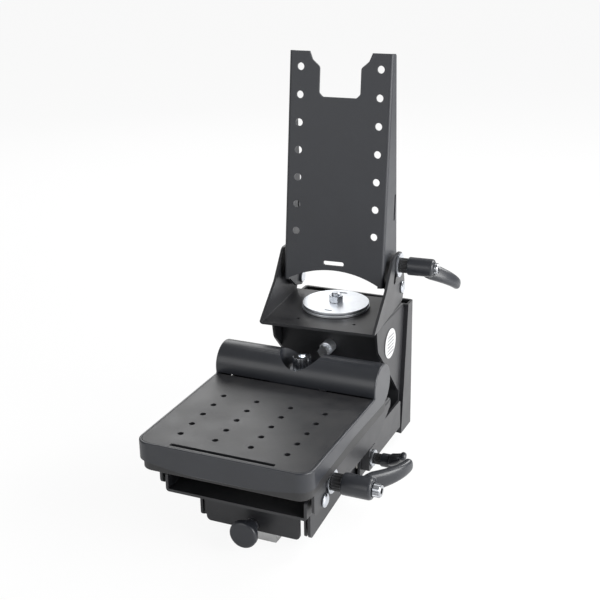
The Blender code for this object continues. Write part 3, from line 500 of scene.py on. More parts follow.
finishes = {
    "coated": coatedFinish("powderCoat", coatValues),
    "coatedPlate": coatedFinish("powderCoatDisplay", {
        **coatValues, "dark": (0.013, 0.0145, 0.0185), "light": (0.020, 0.022, 0.027), "rough": 0.46}),
    "coatedTray": coatedFinish("powderCoatTray", {**coatValues, "rough": 0.40, "dust": 0.22}),
    "satin": plasticFinish("satinPlastic", plasticValues),
    "grip": plasticFinish("leverPlastic", {**plasticValues, "rough": 0.33, "grain": 2000.0, "bump": 0.5}),
    "black": plasticFinish("matteBlackPlastic", {
        **plasticValues, "dark": (0.008, 0.008, 0.009), "light": (0.013, 0.013, 0.014), "rough": 0.5}),
    "zinc": metalFinish("brightZinc", {**metalValues, "rough": 0.4, "centre": (0.0, swivelY * mm, 0.0)}),
    "zincSmall": metalFinish("zincHardware", {
        **metalValues, "dark": (0.40, 0.42, 0.45), "light": (0.55, 0.57, 0.61), "rough": 0.3,
        "scratch": 0.3}),
    # cap screw chrome: base colour set darker than real chrome, a painted dark reflection of the surroundings
    "chrome": metalFinish("chromePaintedDarkReflections", {
        **metalValues, "dark": (0.30, 0.31, 0.33), "light": (0.44, 0.45, 0.47), "rough": 0.16,
        "scratch": 0.25, "bump": 0.1}),
    "lockChrome": metalFinish("lockChrome", {
        **metalValues, "rough": 0.2, "scratch": 0.25, "bump": 0.1, "centre": lockCentre}),
    "aluminium": metalFinish("milledAluminium", {
        **metalValues, "dark": (0.58, 0.58, 0.58), "light": (0.72, 0.72, 0.72), "rough": 0.4,
        "lines": 1500.0}),
    "nylon": plasticFinish("naturalNylon", {
        **plasticValues, "dark": (0.60, 0.59, 0.54), "light": (0.74, 0.73, 0.69),
        "dustColour": (0.5, 0.48, 0.44), "rubColour": (0.8, 0.8, 0.78)}),
}


def labelFinish():
    # silver film with a few plain bars where the print was
    values = {"film": (0.48, 0.485, 0.49), "bars": (0.05, 0.05, 0.055), "centreY": -0.056, "centreZ": 0.038}
    made, tree, shader = startFinish("silverLabel", 0.4, 0.0, {"Specular IOR Level": 0.3})
    place = addNode(tree, "ShaderNodeTexCoord").outputs["Object"]
    parts = addNode(tree, "ShaderNodeSeparateXYZ", {0: place})
    across = mathNode(tree, "SUBTRACT", parts.outputs[1], values["centreY"])
    up = mathNode(tree, "SUBTRACT", parts.outputs[2], values["centreZ"])
    bars = mapRange(tree, mathNode(tree, "SINE", product(tree, up, 1900.0)), 0.0, 0.3)
    inside = mapRange(tree, mathNode(tree, "ABSOLUTE", up), 0.0102, 0.0098)
    wide = mapRange(tree, mathNode(tree, "ABSOLUTE", across), 0.0092, 0.0086)
    mask = product(tree, product(tree, bars, inside), wide)
    blotch = mapRange(tree, noiseNode(tree, place, 300.0, 4.0), 0.3, 0.7, 0.55, 1.0)
    ink = product(tree, mask, blotch)
    tree.links.new(mixColours(tree, ink, values["film"], values["bars"]), shader.inputs["Base Color"])
    tree.links.new(mapRange(tree, noiseNode(tree, place, 120.0, 3.0), 0.0, 1.0, 0.22, 0.42),
                   shader.inputs["Roughness"])
    bumpFrom(tree, shader, noiseNode(tree, place, 900.0, 2.0), 0.2, 0.00003)
    return made


finishes["label"] = labelFinish()
slotOf = {part["node"]: part["material_slot"] for part in frame["record"]["subparts"]}
finishOfSlot = {"coated_steel": "coated", "satin_plastic": "satin", "black_plastic": "black",
                "zinc_steel": "zincSmall", "chrome": "chrome", "aluminium": "aluminium", "nylon": "nylon",
                "label_film": "label"}
print("finishes made:", len(finishes))


brightPieces = ("column_bolt", "column_bushing")  # fresher plating than the other small hardware
for name, node in nodes.items():
    look = finishes["zinc" if name in brightPieces else finishOfSlot[slotOf[name]]]
    if len(node.material_slots) == 0:
        node.data.materials.append(look)
    for place in node.material_slots:
        place.material = look
    join = node.modifiers.new("Join", "WELD")
    join.merge_threshold = 0.00001
    if not name.endswith("_spring"):
        softenEdges(node, 0.00025, 38.0, 2)
        evenShading(node)


def railFront(z):  # the rail's front slopes from 31 mm deep at the bottom to 15 mm at the top
    return -(31.0 - 16.0 * (z + 68.0) / 131.0)


def buildRail():
    rail = {"half": 57.0, "low": -68.0, "top": 63.0, "lip": 8.0, "hole": 3.4,
            "holeX": (-32.0, 32.0), "holeZ": (-48.0, 44.0)}
    low, top = rail["low"], rail["top"]
    side = [(0.0, low), (railFront(low), low), (railFront(top), top), (0.0, top)]
    piece = foldedSheet("railChannel", rail["half"], 0.0, -45.0, side, 3.2, axis="Z")
    lip = [(railFront(low), low + 0.3), (railFront(top), top - 0.3),
           (railFront(top) + sheet, top - 0.3), (railFront(low) + sheet, low + 0.3)]
    for edge in (rail["half"] - rail["lip"], -rail["half"] + 0.2):
        combineWith(piece, extrudeOutline("X", lip, edge, edge + 7.8), "UNION")
    for x in rail["holeX"]:
        for z in rail["holeZ"]:
            cutFrom(piece, turnDisc("Y", (x, 0.0, z), -5.0, 2.0, rail["hole"], 32))
    softenEdges(piece, 0.5, 32.0, 3)
    settlePiece(piece, "stand", finishes["coated"], ["rear_rail"])


def buildStand():
    buildRail()
    column = {"half": 53.0, "top": 65.3, "low": -24.0, "bolt": 4.3}
    foot = {"half": 57.0, "front": -144.0, "back": -34.3, "low": -61.0, "top": -30.0,
            "stud": (0.0, *rearStud)}
    top, low = column["top"], column["low"]
    rear = -gap - sheet - gap
    gusset = roundCorners([(-92.0, top, 0.0), (-91.0, 56.0, 4.0), (-88.0, 41.0, 12.0), (-71.0, 23.0, 20.0),
                           (railFront(low) + rear, low, 1.5), (railFront(top) + rear, top, 0.0)], 10)
    cheeks = foldedSheet("columnCheeks", column["half"], top, -40.0, gusset)
    cutFrom(cheeks, turnDisc("Z", (0.0, swivelY, 0.0), 55.0, 70.0, column["bolt"]))
    settleSheet(cheeks, "stand", "column_shell")

    wall = roundCorners([(foot["front"], foot["low"], 3.0), (foot["front"], foot["top"], 6.0),
                         (foot["back"], foot["top"], 3.0), (foot["back"], foot["low"], 0.0)])
    channel = foldedSheet("footChannel", foot["half"], foot["low"], -20.0, wall)
    cutFrom(channel, turnDisc("X", foot["stud"], foot["half"] - 6.0, foot["half"] + 6.0, studHole))
    settleSheet(channel, "stand", "foot_channel")
    print("stand built")


def buildSlide():
    slide = {"half": 51.8, "top": -26.4, "front": -245.0, "frontLow": -66.0, "low": -58.0, "back": -48.0}
    inner = {"half": 47.5, "back": -150.0, "thick": 1.6, "faceHalf": 43.7, "faceFront": -249.0,
             "plunger": (0.0, 0.0, -60.5), "plungerHole": 5.8}
    side = roundCorners([(slide["front"], slide["top"], 3.0), (slide["front"], slide["frontLow"], 4.0),
                         (-158.0, slide["low"], 0.0), (slide["back"], slide["low"], 3.0),
                         (slide["back"], slide["top"], 0.0)])
    outer = foldedSheet("slideChannel", slide["half"], slide["top"], -75.0, side)
    settleSheet(outer, "slider", "slide_channel")

    top = slide["top"] - sheet - gap
    wing = roundCorners([(slide["front"], top, 0.0), (slide["front"], -65.0, 3.0),
                         (inner["back"], slide["low"], 3.0), (inner["back"], top, 0.0)])
    piece = foldedSheet("innerChannel", inner["half"], top, -75.0, wing, 2.0, inner["thick"])
    faceHalf, faceFront = inner["faceHalf"], inner["faceFront"]
    face = roundCorners([(-faceHalf, top, 0.0), (faceHalf, top, 0.0),
                         (faceHalf, slide["frontLow"], 4.0), (-faceHalf, slide["frontLow"], 4.0)])
    combineWith(piece, extrudeOutline("Y", face, faceFront, faceFront + sheet), "UNION")
    bridge = boxPoints(-47.4, faceFront + 0.1, 47.4, -240.0, 0.5)
    combineWith(piece, extrudeOutline("Z", bridge, top - inner["thick"], top - 0.02), "UNION")
    cutFrom(piece, turnDisc("Y", inner["plunger"], -255.0, -244.0, inner["plungerHole"]))
    settleSheet(piece, "slider", "inner_channel", edge=0.3)
    buildCradle()
    print("slide built")


def buildCradle():
    cradle = {"half": 64.0, "low": -26.0, "front": -279.5, "back": -180.0, "top": -1.6}
    side = roundCorners([(cradle["front"], cradle["low"], 0.0), (cradle["front"], -11.0, 3.0),
                         (-268.0, -4.0, 6.0), (-256.0, cradle["top"], 4.0),
                         (cradle["back"], cradle["top"], 6.0), (cradle["back"], cradle["low"], 0.0)])
    piece = foldedSheet("trayCradle", cradle["half"], cradle["low"], 5.0, side)
    for y, z in (trayPivot, frontStud):
        cutFrom(piece, turnDisc("X", (0.0, y, z), -90.0, 90.0, studHole))
    settleSheet(piece, "slider", "tray_cradle")


def buildKnob():
    knob = {"radius": 12.4, "neck": 6.6, "front": -269.0, "back": -251.8, "shank": 2.3}
    radius, back = knob["radius"], knob["back"]
    profile = [(knob["front"], 0.0), (knob["front"], radius - 4.2)]
    for degrees in range(170, 80, -10):  # rounded front edge
        angle = math.radians(degrees)
        profile.append((-266.4 + 2.6 * math.cos(angle), radius - 2.9 + 2.9 * math.sin(angle)))
    profile += [(-263.6, radius), (-262.6, radius - 0.5), (-261.8, radius - 1.9), (-261.0, 8.4),
                (-260.2, 7.2), (-259.0, knob["neck"]), (back - 0.6, knob["neck"]), (back, knob["neck"] - 0.5),
                (back, knob["shank"]), (-262.3, knob["shank"]), (-262.3, 0.0)]
    piece = meshObject("pullKnob", turnProfile("Y", (0.0, 0.0, -60.5), profile, 72))
    settlePiece(piece, "plunger", finishes["grip"], ["pull_knob"], sharp=30.0)
    print("knob built")


def trayOutline(half, front, back, frontRadius, backRadius, steps=7):
    return roundCorners([(-half, front, frontRadius), (half, front, frontRadius),
                         (half, back, backRadius), (-half, back, backRadius)], steps)


def buildTray():
    bracket = {"half": 70.0, "top": 4.0, "front": -278.0, "slotWidth": 6.8}
    wing = roundCorners([(bracket["front"], bracket["top"], 0.0), (bracket["front"], -21.0, 5.0),
                         (-133.0, -22.0, 5.0), (-102.0, -3.0, 4.0), (-100.0, bracket["top"], 0.0)])
    piece = foldedSheet("trayBracket", bracket["half"], bracket["top"], -40.0, wing)
    across, up = frontStud[0] - trayPivot[0], frontStud[1] - trayPivot[1]
    reach = math.hypot(across, up)
    rise = math.degrees(math.atan2(up, across))
    guide = slotPoints(trayPivot, reach, rise - 38.0, rise + 4.0, bracket["slotWidth"])
    cutFrom(piece, extrudeOutline("X", guide, -90.0, 90.0))
    cutFrom(piece, turnDisc("X", (0.0, *trayPivot), -90.0, 90.0, studHole))
    settleSheet(piece, "tray", "tray_bracket")

    pan = {"half": 74.6, "front": -301.0, "back": -126.0, "low": 4.3, "top": 17.2, "wall": 2.2, "floor": 2.0}
    half, front, back, wall = pan["half"], pan["front"], pan["back"], pan["wall"]
    shell = meshObject("trayPan", extrudeOutline("Z", trayOutline(half, front, back, 11.0, 3.0),
                                                 pan["low"], pan["top"]))
    room = trayOutline(half - wall, front + wall, back - wall, 9.0, 2.0)
    cutFrom(shell, extrudeOutline("Z", room, pan["low"] + pan["floor"], 21.0))
    softenEdges(shell, 0.8, 32.0, 3)
    settlePiece(shell, "tray", finishes["black"], ["tray_shell"])

    buildBezel()
    buildTrayPlate()
    print("tray built")


def buildTrayPlate():
    grid = {"stepX": 31.75, "stepY": 19.05, "middleY": -240.0, "hole": 5.0, "low": 26.7, "top": 30.0}
    holes = []
    for i in range(4):
        for j in range(5):
            spot = ((i - 1.5) * grid["stepX"], grid["middleY"] + (j - 2) * grid["stepY"])
            holes.append(circlePoints(spot, grid["hole"] / 2.0, 28))
    holes.append(boxPoints(-46.0, -299.6, 46.0, -296.0, 1.0))  # long slot at the front
    outline = trayOutline(74.5, -301.7, -161.2, 11.0, 0.4, 12)
    plate = meshObject("trayPlate", extrudeOutline("Z", outline, grid["low"], grid["top"], holes))
    softenEdges(plate, 0.3, 40.0, 2)
    settlePiece(plate, "tray", finishes["coatedTray"], ["tray_plate"])


def buildBezel():
    bezel = {"front": -304.0, "top": 30.0, "half": 77.0, "low": 8.0, "ledge": 26.4,
             "bow": 5.5, "bowHalf": 66.0, "wall": 2.4}
    front, top, half, ledge = bezel["front"], bezel["top"], bezel["half"], bezel["ledge"]
    start = math.degrees(math.asin((top - rollZ) / rollRadius))
    outline = [(front, bezel["low"]), (front, top)]
    outline += arcPoints((rollY, rollZ), rollRadius, 180.0 - start, -80.0, 56)
    outline += [(-208.0, 17.2), (-284.0, 14.4), (-292.0, bezel["low"])]
    piece = meshObject("trayBezel", extrudeOutline("X", outline, -half, half))
    corner = trayOutline(half + 0.02, front - 0.02, -100.0, 13.0, 0.0, 12)
    combineWith(piece, extrudeOutline("Z", corner, 0.0, 70.0), "INTERSECT")
    softenEdges(piece, 1.6, 40.0, 4)

    high = bezel["low"] + bezel["bow"]  # the front's lower edge hangs in a shallow bow
    bow = [(x, bezel["low"] + bezel["bow"] * min(1.0, abs(x) / bezel["bowHalf"]) ** 2.2)
           for x in range(66, -67, -3)]
    bow = [(-90.0, 0.0), (90.0, 0.0), (90.0, high)] + bow + [(-90.0, high)]
    cutFrom(piece, extrudeOutline("Y", bow, -310.0, -283.0))
    cutFrom(piece, extrudeOutline("Z", trayOutline(74.8, -302.0, -158.6, 11.0, 0.4, 12), ledge, 31.0))
    cutFrom(piece, extrudeOutline("Z", trayOutline(74.9, -301.4, -163.0, 11.0, 2.0, 12), 0.0, ledge - 2.0))
    window = trayOutline(68.0, -296.0, -168.0, 8.0, 4.0)
    cutFrom(piece, extrudeOutline("Z", window, ledge - 5.0, ledge + 1.0))
    inside = rollRadius - bezel["wall"]
    cave = arcPoints((rollY, rollZ), inside, 0.0, 180.0, 24) + [(rollY - inside, 8.0), (rollY + inside, 8.0)]
    for lowX, highX in ((-74.9, -24.0), (24.0, 74.9)):
        cutFrom(piece, extrudeOutline("X", cave, lowX, highX))
    cutFrom(piece, extrudeOutline("Z", boxPoints(-74.9, -168.5, 74.9, -124.1, 2.0), 0.0, 20.5))
    scoop = [(34.0, 0.0), (34.0, 14.2), (34.6, 15.2), (36.0, 16.6), (38.0, 17.6), (60.0, 21.0), (60.0, 0.0)]
    cutFrom(piece, turnProfile("Z", (0.0, lockY, 0.0), scoop, 80))
    cutFrom(piece, turnDisc("Z", (0.0, lockY, 0.0), 10.0, 40.0, 6.3))
    softenEdges(piece, 0.4, 40.0, 2)
    settlePiece(piece, "tray", finishes["satin"], ["tray_bezel"], sharp=30.0)


def buildTrayLock():
    lock = {"radius": 8.4, "low": 39.3, "top": 50.5, "flutes": 10, "flute": 1.9, "socket": 3.4, "shank": 5.9}
    centre = (0.0, lockY, 0.0)
    collar = meshObject("lockCollar", turnTube("Z", centre, 34.3, 39.0, 11.5, 6.2, 72))
    softenEdges(collar, 0.5, 40.0, 3)
    settlePiece(collar, "tray", finishes["lockChrome"], ["lock_collar"])
    outline = circlePoints(centre[:2], lock["radius"], 80)
    knob = meshObject("lockKnob", extrudeOutline("Z", outline, lock["low"], lock["top"]))
    for i in range(lock["flutes"]):
        angle = 2.0 * math.pi * i / lock["flutes"]
        spot = (9.3 * math.cos(angle), centre[1] + 9.3 * math.sin(angle), 0.0)
        cutFrom(knob, turnDisc("Z", spot, 39.0, 51.0, lock["flute"], 28))
    cutFrom(knob, turnDisc("Z", centre, 48.0, 52.0, lock["socket"], 6))
    combineWith(knob, turnDisc("Z", centre, 22.0, 40.0, lock["shank"]), "UNION")
    softenEdges(knob, 0.35, 40.0, 2)
    settlePiece(knob, "lock", finishes["lockChrome"], ["lock_knob"])
    print("lock built")


def buildYoke():
    yoke = {"half": 55.0, "holeX": (-24.0, 30.0), "hole": 1.6, "slotWidth": 6.8, "slotRadius": 29.0}
    shelfLow = swivelTop - sheet
    ear = roundCorners([(swivelY - 57.0, shelfLow, 0.0), (swivelY - 57.0, swivelTop + 0.4, 0.4),
                        (swivelY - 55.0, swivelTop + 2.2, 1.0), (swivelY - 20.0, 96.0, 14.0),
                        (swivelY + 3.0, 122.0, 8.0), (swivelY + 34.0, 120.0, 12.0),
                        (swivelY + 44.0, 84.0, 10.0), (swivelY + 36.0, swivelTop - 1.0, 3.0),
                        (swivelY + 36.0, shelfLow, 0.0)], 9)
    piece = foldedSheet("yokeShelf", yoke["half"], shelfLow, 140.0, ear)
    cutFrom(piece, turnDisc("Z", (0.0, swivelY, 0.0), 60.0, 75.0, 4.3))
    for x in yoke["holeX"]:
        cutFrom(piece, turnDisc("Z", (x, swivelY - 39.0, 0.0), 60.0, 75.0, yoke["hole"]))
    rest = clampDegrees + restDegrees
    guide = slotPoints((pivotY, pivotZ), yoke["slotRadius"], rest - 16.0, rest + 34.0, yoke["slotWidth"])
    cutFrom(piece, extrudeOutline("X", guide, -90.0, 90.0))
    cutFrom(piece, turnDisc("X", (0.0, pivotY, pivotZ), -90.0, 90.0, 3.6))
    settleSheet(piece, "swivel", "yoke", frameMatrix=swivelRest)
    buildFrictionDiscs()
    print("yoke built")


def buildFrictionDiscs():
    disc = {"low": 32.0, "top": 31.4, "bore": 4.4, "slotRadius": 24.0, "slotWidth": 2.6, "nut": 6.8}
    centre = (0.0, swivelY, 0.0)
    lower = meshObject("frictionDiscLow", turnTube("Z", centre, swivelTop + gap, swivelTop + 2.5,
                                                   disc["low"], disc["bore"], 128))
    softenEdges(lower, 0.35, 40.0, 3)
    settlePiece(lower, "swivel", finishes["zinc"], ["swivel_disc_lower"], swivelRest)
    holes = [circlePoints(centre[:2], disc["bore"])]
    for start, end in ((84.0, 97.0), (264.0, 276.0)):
        holes.append(slotPoints(centre[:2], disc["slotRadius"], start, end, disc["slotWidth"], 6))
    upper = meshObject("frictionDiscTop", extrudeOutline("Z", circlePoints(centre[:2], disc["top"], 128),
                                                         swivelTop + 3.3, swivelTop + 5.3, holes))
    softenEdges(upper, 0.3, 40.0, 3)
    settlePiece(upper, "swivel", finishes["zinc"], ["swivel_disc_upper"], swivelRest)

    hexagon = meshObject("swivelHexNut", extrudeOutline("Z", circlePoints(centre[:2], disc["nut"], 6),
                                                        swivelTop + 5.6, swivelTop + 11.5))
    cone = [(swivelTop + 5.0, 0.0), (swivelTop + 5.0, 6.3), (swivelTop + 5.9, 6.8), (swivelTop + 11.0, 6.8),
            (swivelTop + 11.8, 5.9), (swivelTop + 11.8, 0.0)]
    combineWith(hexagon, turnProfile("Z", centre, cone, 64), "INTERSECT")
    cutFrom(hexagon, turnDisc("Z", centre, swivelTop + 4.0, swivelTop + 13.0, 4.2))
    softenEdges(hexagon, 0.15, 40.0, 2)
    settlePiece(hexagon, "swivel", finishes["zincSmall"], ["swivel_nut"], swivelRest)


def buildDisplay():
    display = {"half": 48.5, "face": pivotY - 43.5, "top": pivotZ + 217.0, "low": pivotZ + 6.0,
               "pattern": pivotZ + 128.1, "wide": 75.0, "step": 25.0, "hole": 6.8}
    face, top, low, pattern = (display[key] for key in ("face", "top", "low", "pattern"))
    flange = roundCorners([(face, top, 0.0), (pivotY - 33.7, top, 3.0), (pivotY - 1.6, pivotZ + 36.0, 10.0),
                           (pivotY + 9.0, pivotZ + 10.0, 8.0), (pivotY + 7.0, pivotZ - 9.0, 7.0),
                           (pivotY - 14.0, pivotZ - 6.0, 6.0), (face + 8.0, low, 4.0), (face, low, 0.0)], 9)
    plate = foldedSheet("displayPlate", display["half"], face, pivotY + 30.0, flange, 2.9, axis="Z")
    floor = pattern + 48.9
    corners = [(29.5, top, 2.0), (26.5, top - 7.5, 4.0), (19.5, top - 13.5, 4.0), (19.5, floor + 3.5, 2.5),
               (16.0, floor, 2.5)]
    notch = [(-x, z, radius) for x, z, radius in corners] + corners[::-1]
    notch += [(29.5, top + 9.0, 0.0), (-29.5, top + 9.0, 0.0)]
    cutFrom(plate, extrudeOutline("Y", roundCorners(notch), face - 9.0, face + 9.0))
    bow = arcPoints((0.0, low + 12.5 - 92.0), 92.0, 62.0, 118.0, 40)
    bow += [(-43.0, low - 9.0), (43.0, low - 9.0)]
    cutFrom(plate, extrudeOutline("Y", bow, face - 9.0, face + 7.0))
    for sign in (-1.0, 1.0):
        for k in range(7):
            spot = (sign * display["wide"] / 2.0, 0.0, pattern + (k - 3) * display["step"])
            cutFrom(plate, turnDisc("Y", spot, face - 5.0, face + 5.0, display["hole"] / 2.0, 36))
    bar = pattern - 103.0  # short slot below the holes
    window = boxPoints(-10.0, bar - 2.0, 10.0, bar + 2.0, 1.9)
    cutFrom(plate, extrudeOutline("Y", window, face - 5.0, face + 5.0))
    studY = pivotY + 29.0 * math.cos(math.radians(clampDegrees))
    studZ = pivotZ + 29.0 * math.sin(math.radians(clampDegrees))
    for y, z, radius in ((pivotY, pivotZ, 3.6), (studY, studZ, studHole)):
        cutFrom(plate, turnDisc("X", (0.0, y, z), -90.0, 90.0, radius))
    slit = boxPoints(pivotY - 17.0, pivotZ + 65.0, pivotY - 13.0, pivotZ + 90.0, 1.9)
    cutFrom(plate, extrudeOutline("X", slit, -90.0, 90.0))
    settleSheet(plate, "display", "display_plate", frameMatrix=displayRest, look="coatedPlate")
    print("display plate built")
    return studY, studZ


def starPoints(centre, radius, depth, count):  # a round outline with even teeth
    points = []
    for k in range(4 * count):
        reach = radius - (depth if k % 4 > 1 else 0.0)
        angle = math.pi * (k + 0.5) / (2.0 * count)
        points.append((centre[0] + reach * math.cos(angle), centre[1] + reach * math.sin(angle)))
    return points


def buildLever(name, lever):
    # the grip: a turned hub and a curved arm melted together, then smoothed like a casting
    seat, end = lever["hub"]
    size = lever["size"]
    radius, waist = lever["radii"]
    counter, bore = 0.655 * radius, 0.66 * radius
    centre = lever["centre"]
    axisPoint = (0.0, centre[0], centre[1])
    rim = 0.25 * radius
    well, step = end - 10.0 * size, end - 13.0 * size
    profile = [(seat, bore), (seat, radius - 0.6), (seat + 0.6, radius), (end - rim, radius),
               (end - 0.3 * rim, radius - 0.35 * rim), (end, radius - rim), (end, counter),
               (well, counter), (well, 3.1), (step, 3.1), (step, bore)]
    grip = meshObject(name + "Grip", turnProfile("X", axisPoint, profile, 64))
    combineWith(grip, armMesh(axisPoint, end, radius, counter, lever), "UNION")
    melt = grip.modifiers.new("Melt", "REMESH")
    melt.mode = "VOXEL"
    melt.voxel_size = 0.5
    settle = grip.modifiers.new("Settle", "SMOOTH")
    settle.factor = 0.5
    settle.iterations = 4
    settlePiece(grip, lever["body"] + "_grip", finishes["grip"],
                [lever["node"] + "_handle"], lever["matrix"], 180.0)

    head, top = counter - 0.4, end + lever["proud"]
    under = end - 2.2
    knurl = starPoints(centre, head, 0.35, 30)
    screw = meshObject(name + "CapScrew", extrudeOutline("X", knurl, under, top))
    dome = [(under - 0.2, 0.0), (under - 0.2, head - 0.3), (under + 0.4, head), (top - 0.9, head),
            (top, head - 0.9), (top, 0.0)]
    combineWith(screw, turnProfile("X", axisPoint, dome, 64), "INTERSECT")
    cutFrom(screw, turnDisc("X", axisPoint, top - 3.2 * size, top + 1.0, 0.5 * head, 6))
    combineWith(screw, turnDisc("X", axisPoint, end - 16.0 * size, under + 1.0, 2.6), "UNION")
    softenEdges(screw, 0.12, 40.0, 2)
    settlePiece(screw, lever["body"] + "_lever", finishes["chrome"],
                [lever["node"] + "_cap_screw"], lever["matrix"])

    low, deep = lever["wall"] + 2.6, end - 13.6 * size
    ribs = starPoints(centre, waist, 0.45, 18)
    neck = meshObject(name + "Neck", extrudeOutline("X", ribs, low, seat - gap))
    combineWith(neck, turnDisc("X", axisPoint, seat - gap - 1.0, deep, bore - gap), "UNION")
    cutFrom(neck, turnDisc("X", axisPoint, low - 1.0, seat + 3.0, 3.3))
    cutFrom(neck, turnDisc("X", axisPoint, low - 1.0, deep + 1.0, 2.9))
    softenEdges(neck, 0.15, 40.0, 2)
    settlePiece(neck, lever["body"] + "_lever", finishes["black"],
                [lever["node"] + "_insert"], lever["matrix"])


def armMesh(axisPoint, end, radius, counter, lever):
    bm = bmesh.new()
    aim, reach, size = math.radians(lever["aim"]), lever["reach"], lever["size"]
    out = Vector((0.0, math.cos(aim), math.sin(aim)))
    side = Vector((0.0, -math.sin(aim), math.cos(aim)))
    steps, around = 28, 28
    root = counter + 0.8 + 4.8 * size * math.sin(math.radians(51.0))
    rings = []
    for k in range(-1, steps + 1):
        part = max(k, 0) / steps
        along = root + (reach - root) * part
        lift = end - 5.0 * size + 20.0 * size * (1.0 - (1.0 - part) ** 1.9)
        wide = radius * (0.92 - 0.32 * part)
        thick = (4.8 - 1.2 * part) * size
        lean = math.atan2(38.0 * size * (1.0 - part) ** 0.9, reach - root)
        if k < 0:
            along, lift, thick, lean = counter + 0.6, end - 7.5 * size, 4.5 * size, 0.0
        closing = math.sqrt(max(0.0, 1.0 - max(0.0, (part - 0.9) / 0.105) ** 2))  # rounded tip
        wide *= closing
        thick *= closing
        normal = Vector((math.cos(lean), 0.0, 0.0)) - out * math.sin(lean)
        middle = Vector((lift, axisPoint[1], axisPoint[2])) + out * along
        ring = []
        for i in range(around):
            angle = 2.0 * math.pi * i / around
            flat = math.copysign(abs(math.cos(angle)) ** 0.8, math.cos(angle))
            deep = math.copysign(abs(math.sin(angle)) ** 0.8, math.sin(angle))
            ring.append(bm.verts.new(middle + side * wide * flat + normal * thick * deep))
        rings.append(ring)
    for first, second in zip(rings, rings[1:]):
        for i in range(around):
            j = (i + 1) % around
            bm.faces.new([first[i], first[j], second[j], second[i]])
    bm.faces.new(rings[0])
    bm.faces.new(list(reversed(rings[-1])))
    return bm


buildStand()
buildSlide()
buildKnob()
buildTray()
buildTrayLock()
buildYoke()
studY, studZ = buildDisplay()
levers = {  # aim is the arm's angle in degrees, proud the screw head's height over the hub
    "rear": {"centre": rearStud, "wall": 65.0, "hub": (74.0, 90.0), "proud": 2.5,
             "radii": (6.2, 5.0), "reach": 30.0, "aim": 137.0, "size": 0.75, "body": "rear",
             "node": "rear_clamp", "matrix": None},
    "front": {"centre": frontStud, "wall": 70.0, "hub": (81.1, 107.0), "proud": 6.7,
              "radii": (9.3, 7.4), "reach": 46.0, "aim": 5.0, "size": 1.0, "body": "front",
              "node": "front_clamp", "matrix": None},
    "upper": {"centre": (studY, studZ), "wall": 55.0, "hub": (64.7, 89.5), "proud": 3.7,
              "radii": (8.5, 7.0), "reach": 42.0, "aim": -30.5, "size": 1.0, "body": "upper",
              "node": "upper_clamp", "matrix": displayRest},
}
for name, lever in levers.items():
    buildLever(name, lever)
print("levers built")


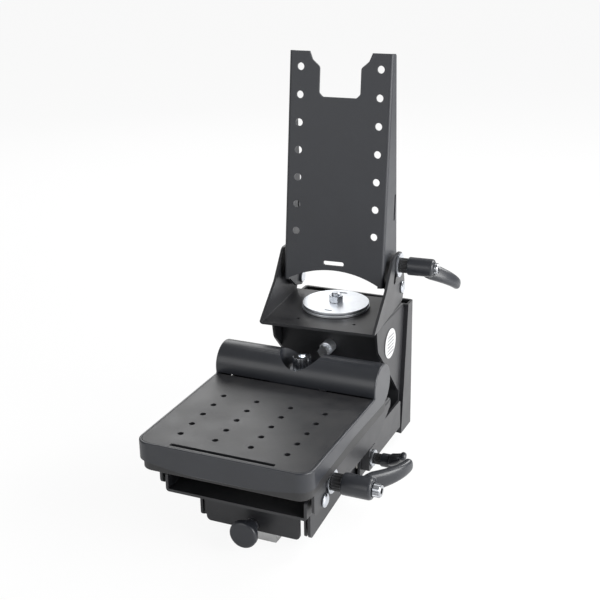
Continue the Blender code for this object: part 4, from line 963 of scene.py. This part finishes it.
def buildStudio():
    studio = {"floorHeight": -0.0808, "paper": (0.93, 0.93, 0.93), "paperGlow": 0.9, "worldStrength": 0.45,
              "keyPower": 26.0, "fillPower": 5.0, "backPower": 4.5, "rimPower": 14.0}
    bm = bmesh.new()
    bmesh.ops.create_grid(bm, x_segments=24, y_segments=24, size=6.0)
    for vert in bm.verts:
        vert.co.z = studio["floorHeight"]
    floor = meshObject("studioFloor", bm)
    made, tree, shader = startFinish("studioPaper", 0.9)
    place = addNode(tree, "ShaderNodeTexCoord").outputs["Object"]
    tree.links.new(mixColours(tree, noiseNode(tree, place, 60.0, 3.0), (0.92, 0.92, 0.92), studio["paper"]),
                   shader.inputs["Base Color"])
    glow = addNode(tree, "ShaderNodeEmission", {"Color": (1.0, 1.0, 1.0, 1.0), "Strength": 1.0})
    path = addNode(tree, "ShaderNodeLightPath")
    blend = addNode(tree, "ShaderNodeMixShader",
                    {0: product(tree, path.outputs["Is Camera Ray"], studio["paperGlow"])})
    tree.links.new(shader.outputs[0], blend.inputs[1])
    tree.links.new(glow.outputs[0], blend.inputs[2])
    tree.links.new(blend.outputs[0], tree.nodes["Material Output"].inputs["Surface"])
    floor.data.materials.append(made)

    world = bpy.data.worlds.new("studioWorld")
    world.use_nodes = True
    world.node_tree.nodes["Background"].inputs["Color"].default_value = (1.0, 1.0, 1.0, 1.0)
    path = addNode(world.node_tree, "ShaderNodeLightPath")
    seen = path.outputs["Is Camera Ray"]
    strength = mapRange(world.node_tree, seen, 0.0, 1.0, studio["worldStrength"], 1.0)
    world.node_tree.links.new(strength, world.node_tree.nodes["Background"].inputs["Strength"])
    bpy.context.scene.world = world
    target = Vector((0.0, -0.15, 0.05))
    for name, spot, power, size in (("keyLight", (1.3, -0.35, 0.55), studio["keyPower"], 0.9),
                                    ("fillLight", (-0.5, -1.5, 0.6), studio["fillPower"], 0.8),
                                    ("rimLight", (0.7, 0.8, 0.9), studio["rimPower"], 0.6),
                                    ("backLight", (-0.8, 1.0, 0.75), studio["backPower"], 0.7)):
        lamp = bpy.data.lights.new(name, "AREA")
        lamp.energy = power
        lamp.shape = "SQUARE"
        lamp.size = size
        made = bpy.data.objects.new(name, lamp)
        bpy.context.scene.collection.objects.link(made)
        made.location = spot
        made.rotation_euler = (target - Vector(spot)).to_track_quat("-Z", "Y").to_euler()
    bpy.context.scene.view_settings.view_transform = "Standard"


def buildCamera():
    view = {"spot": (0.386586, -1.005076, 0.461989), "heading": 24.1475, "down": 20.70995, "roll": -0.97766,
            "lens": 69.3975}
    heading, down, roll = (math.radians(view[key]) for key in ("heading", "down", "roll"))
    level = math.cos(down)
    forward = Vector((-math.sin(heading) * level, math.cos(heading) * level, -math.sin(down)))
    right = Vector((math.cos(heading), math.sin(heading), 0.0))
    up = right.cross(forward)
    tiltedRight = right * math.cos(roll) + up * math.sin(roll)
    tiltedUp = up * math.cos(roll) - right * math.sin(roll)
    lens = bpy.data.cameras.new("studioCamera")
    lens.lens = view["lens"]
    lens.sensor_width = 36.0
    camera = bpy.data.objects.new("studioCamera", lens)
    bpy.context.scene.collection.objects.link(camera)
    turn = Matrix((tiltedRight, tiltedUp, -forward)).transposed().to_4x4()
    camera.matrix_world = Matrix.Translation(view["spot"]) @ turn
    bpy.context.scene.camera = camera


buildStudio()
buildCamera()
print("studio built")
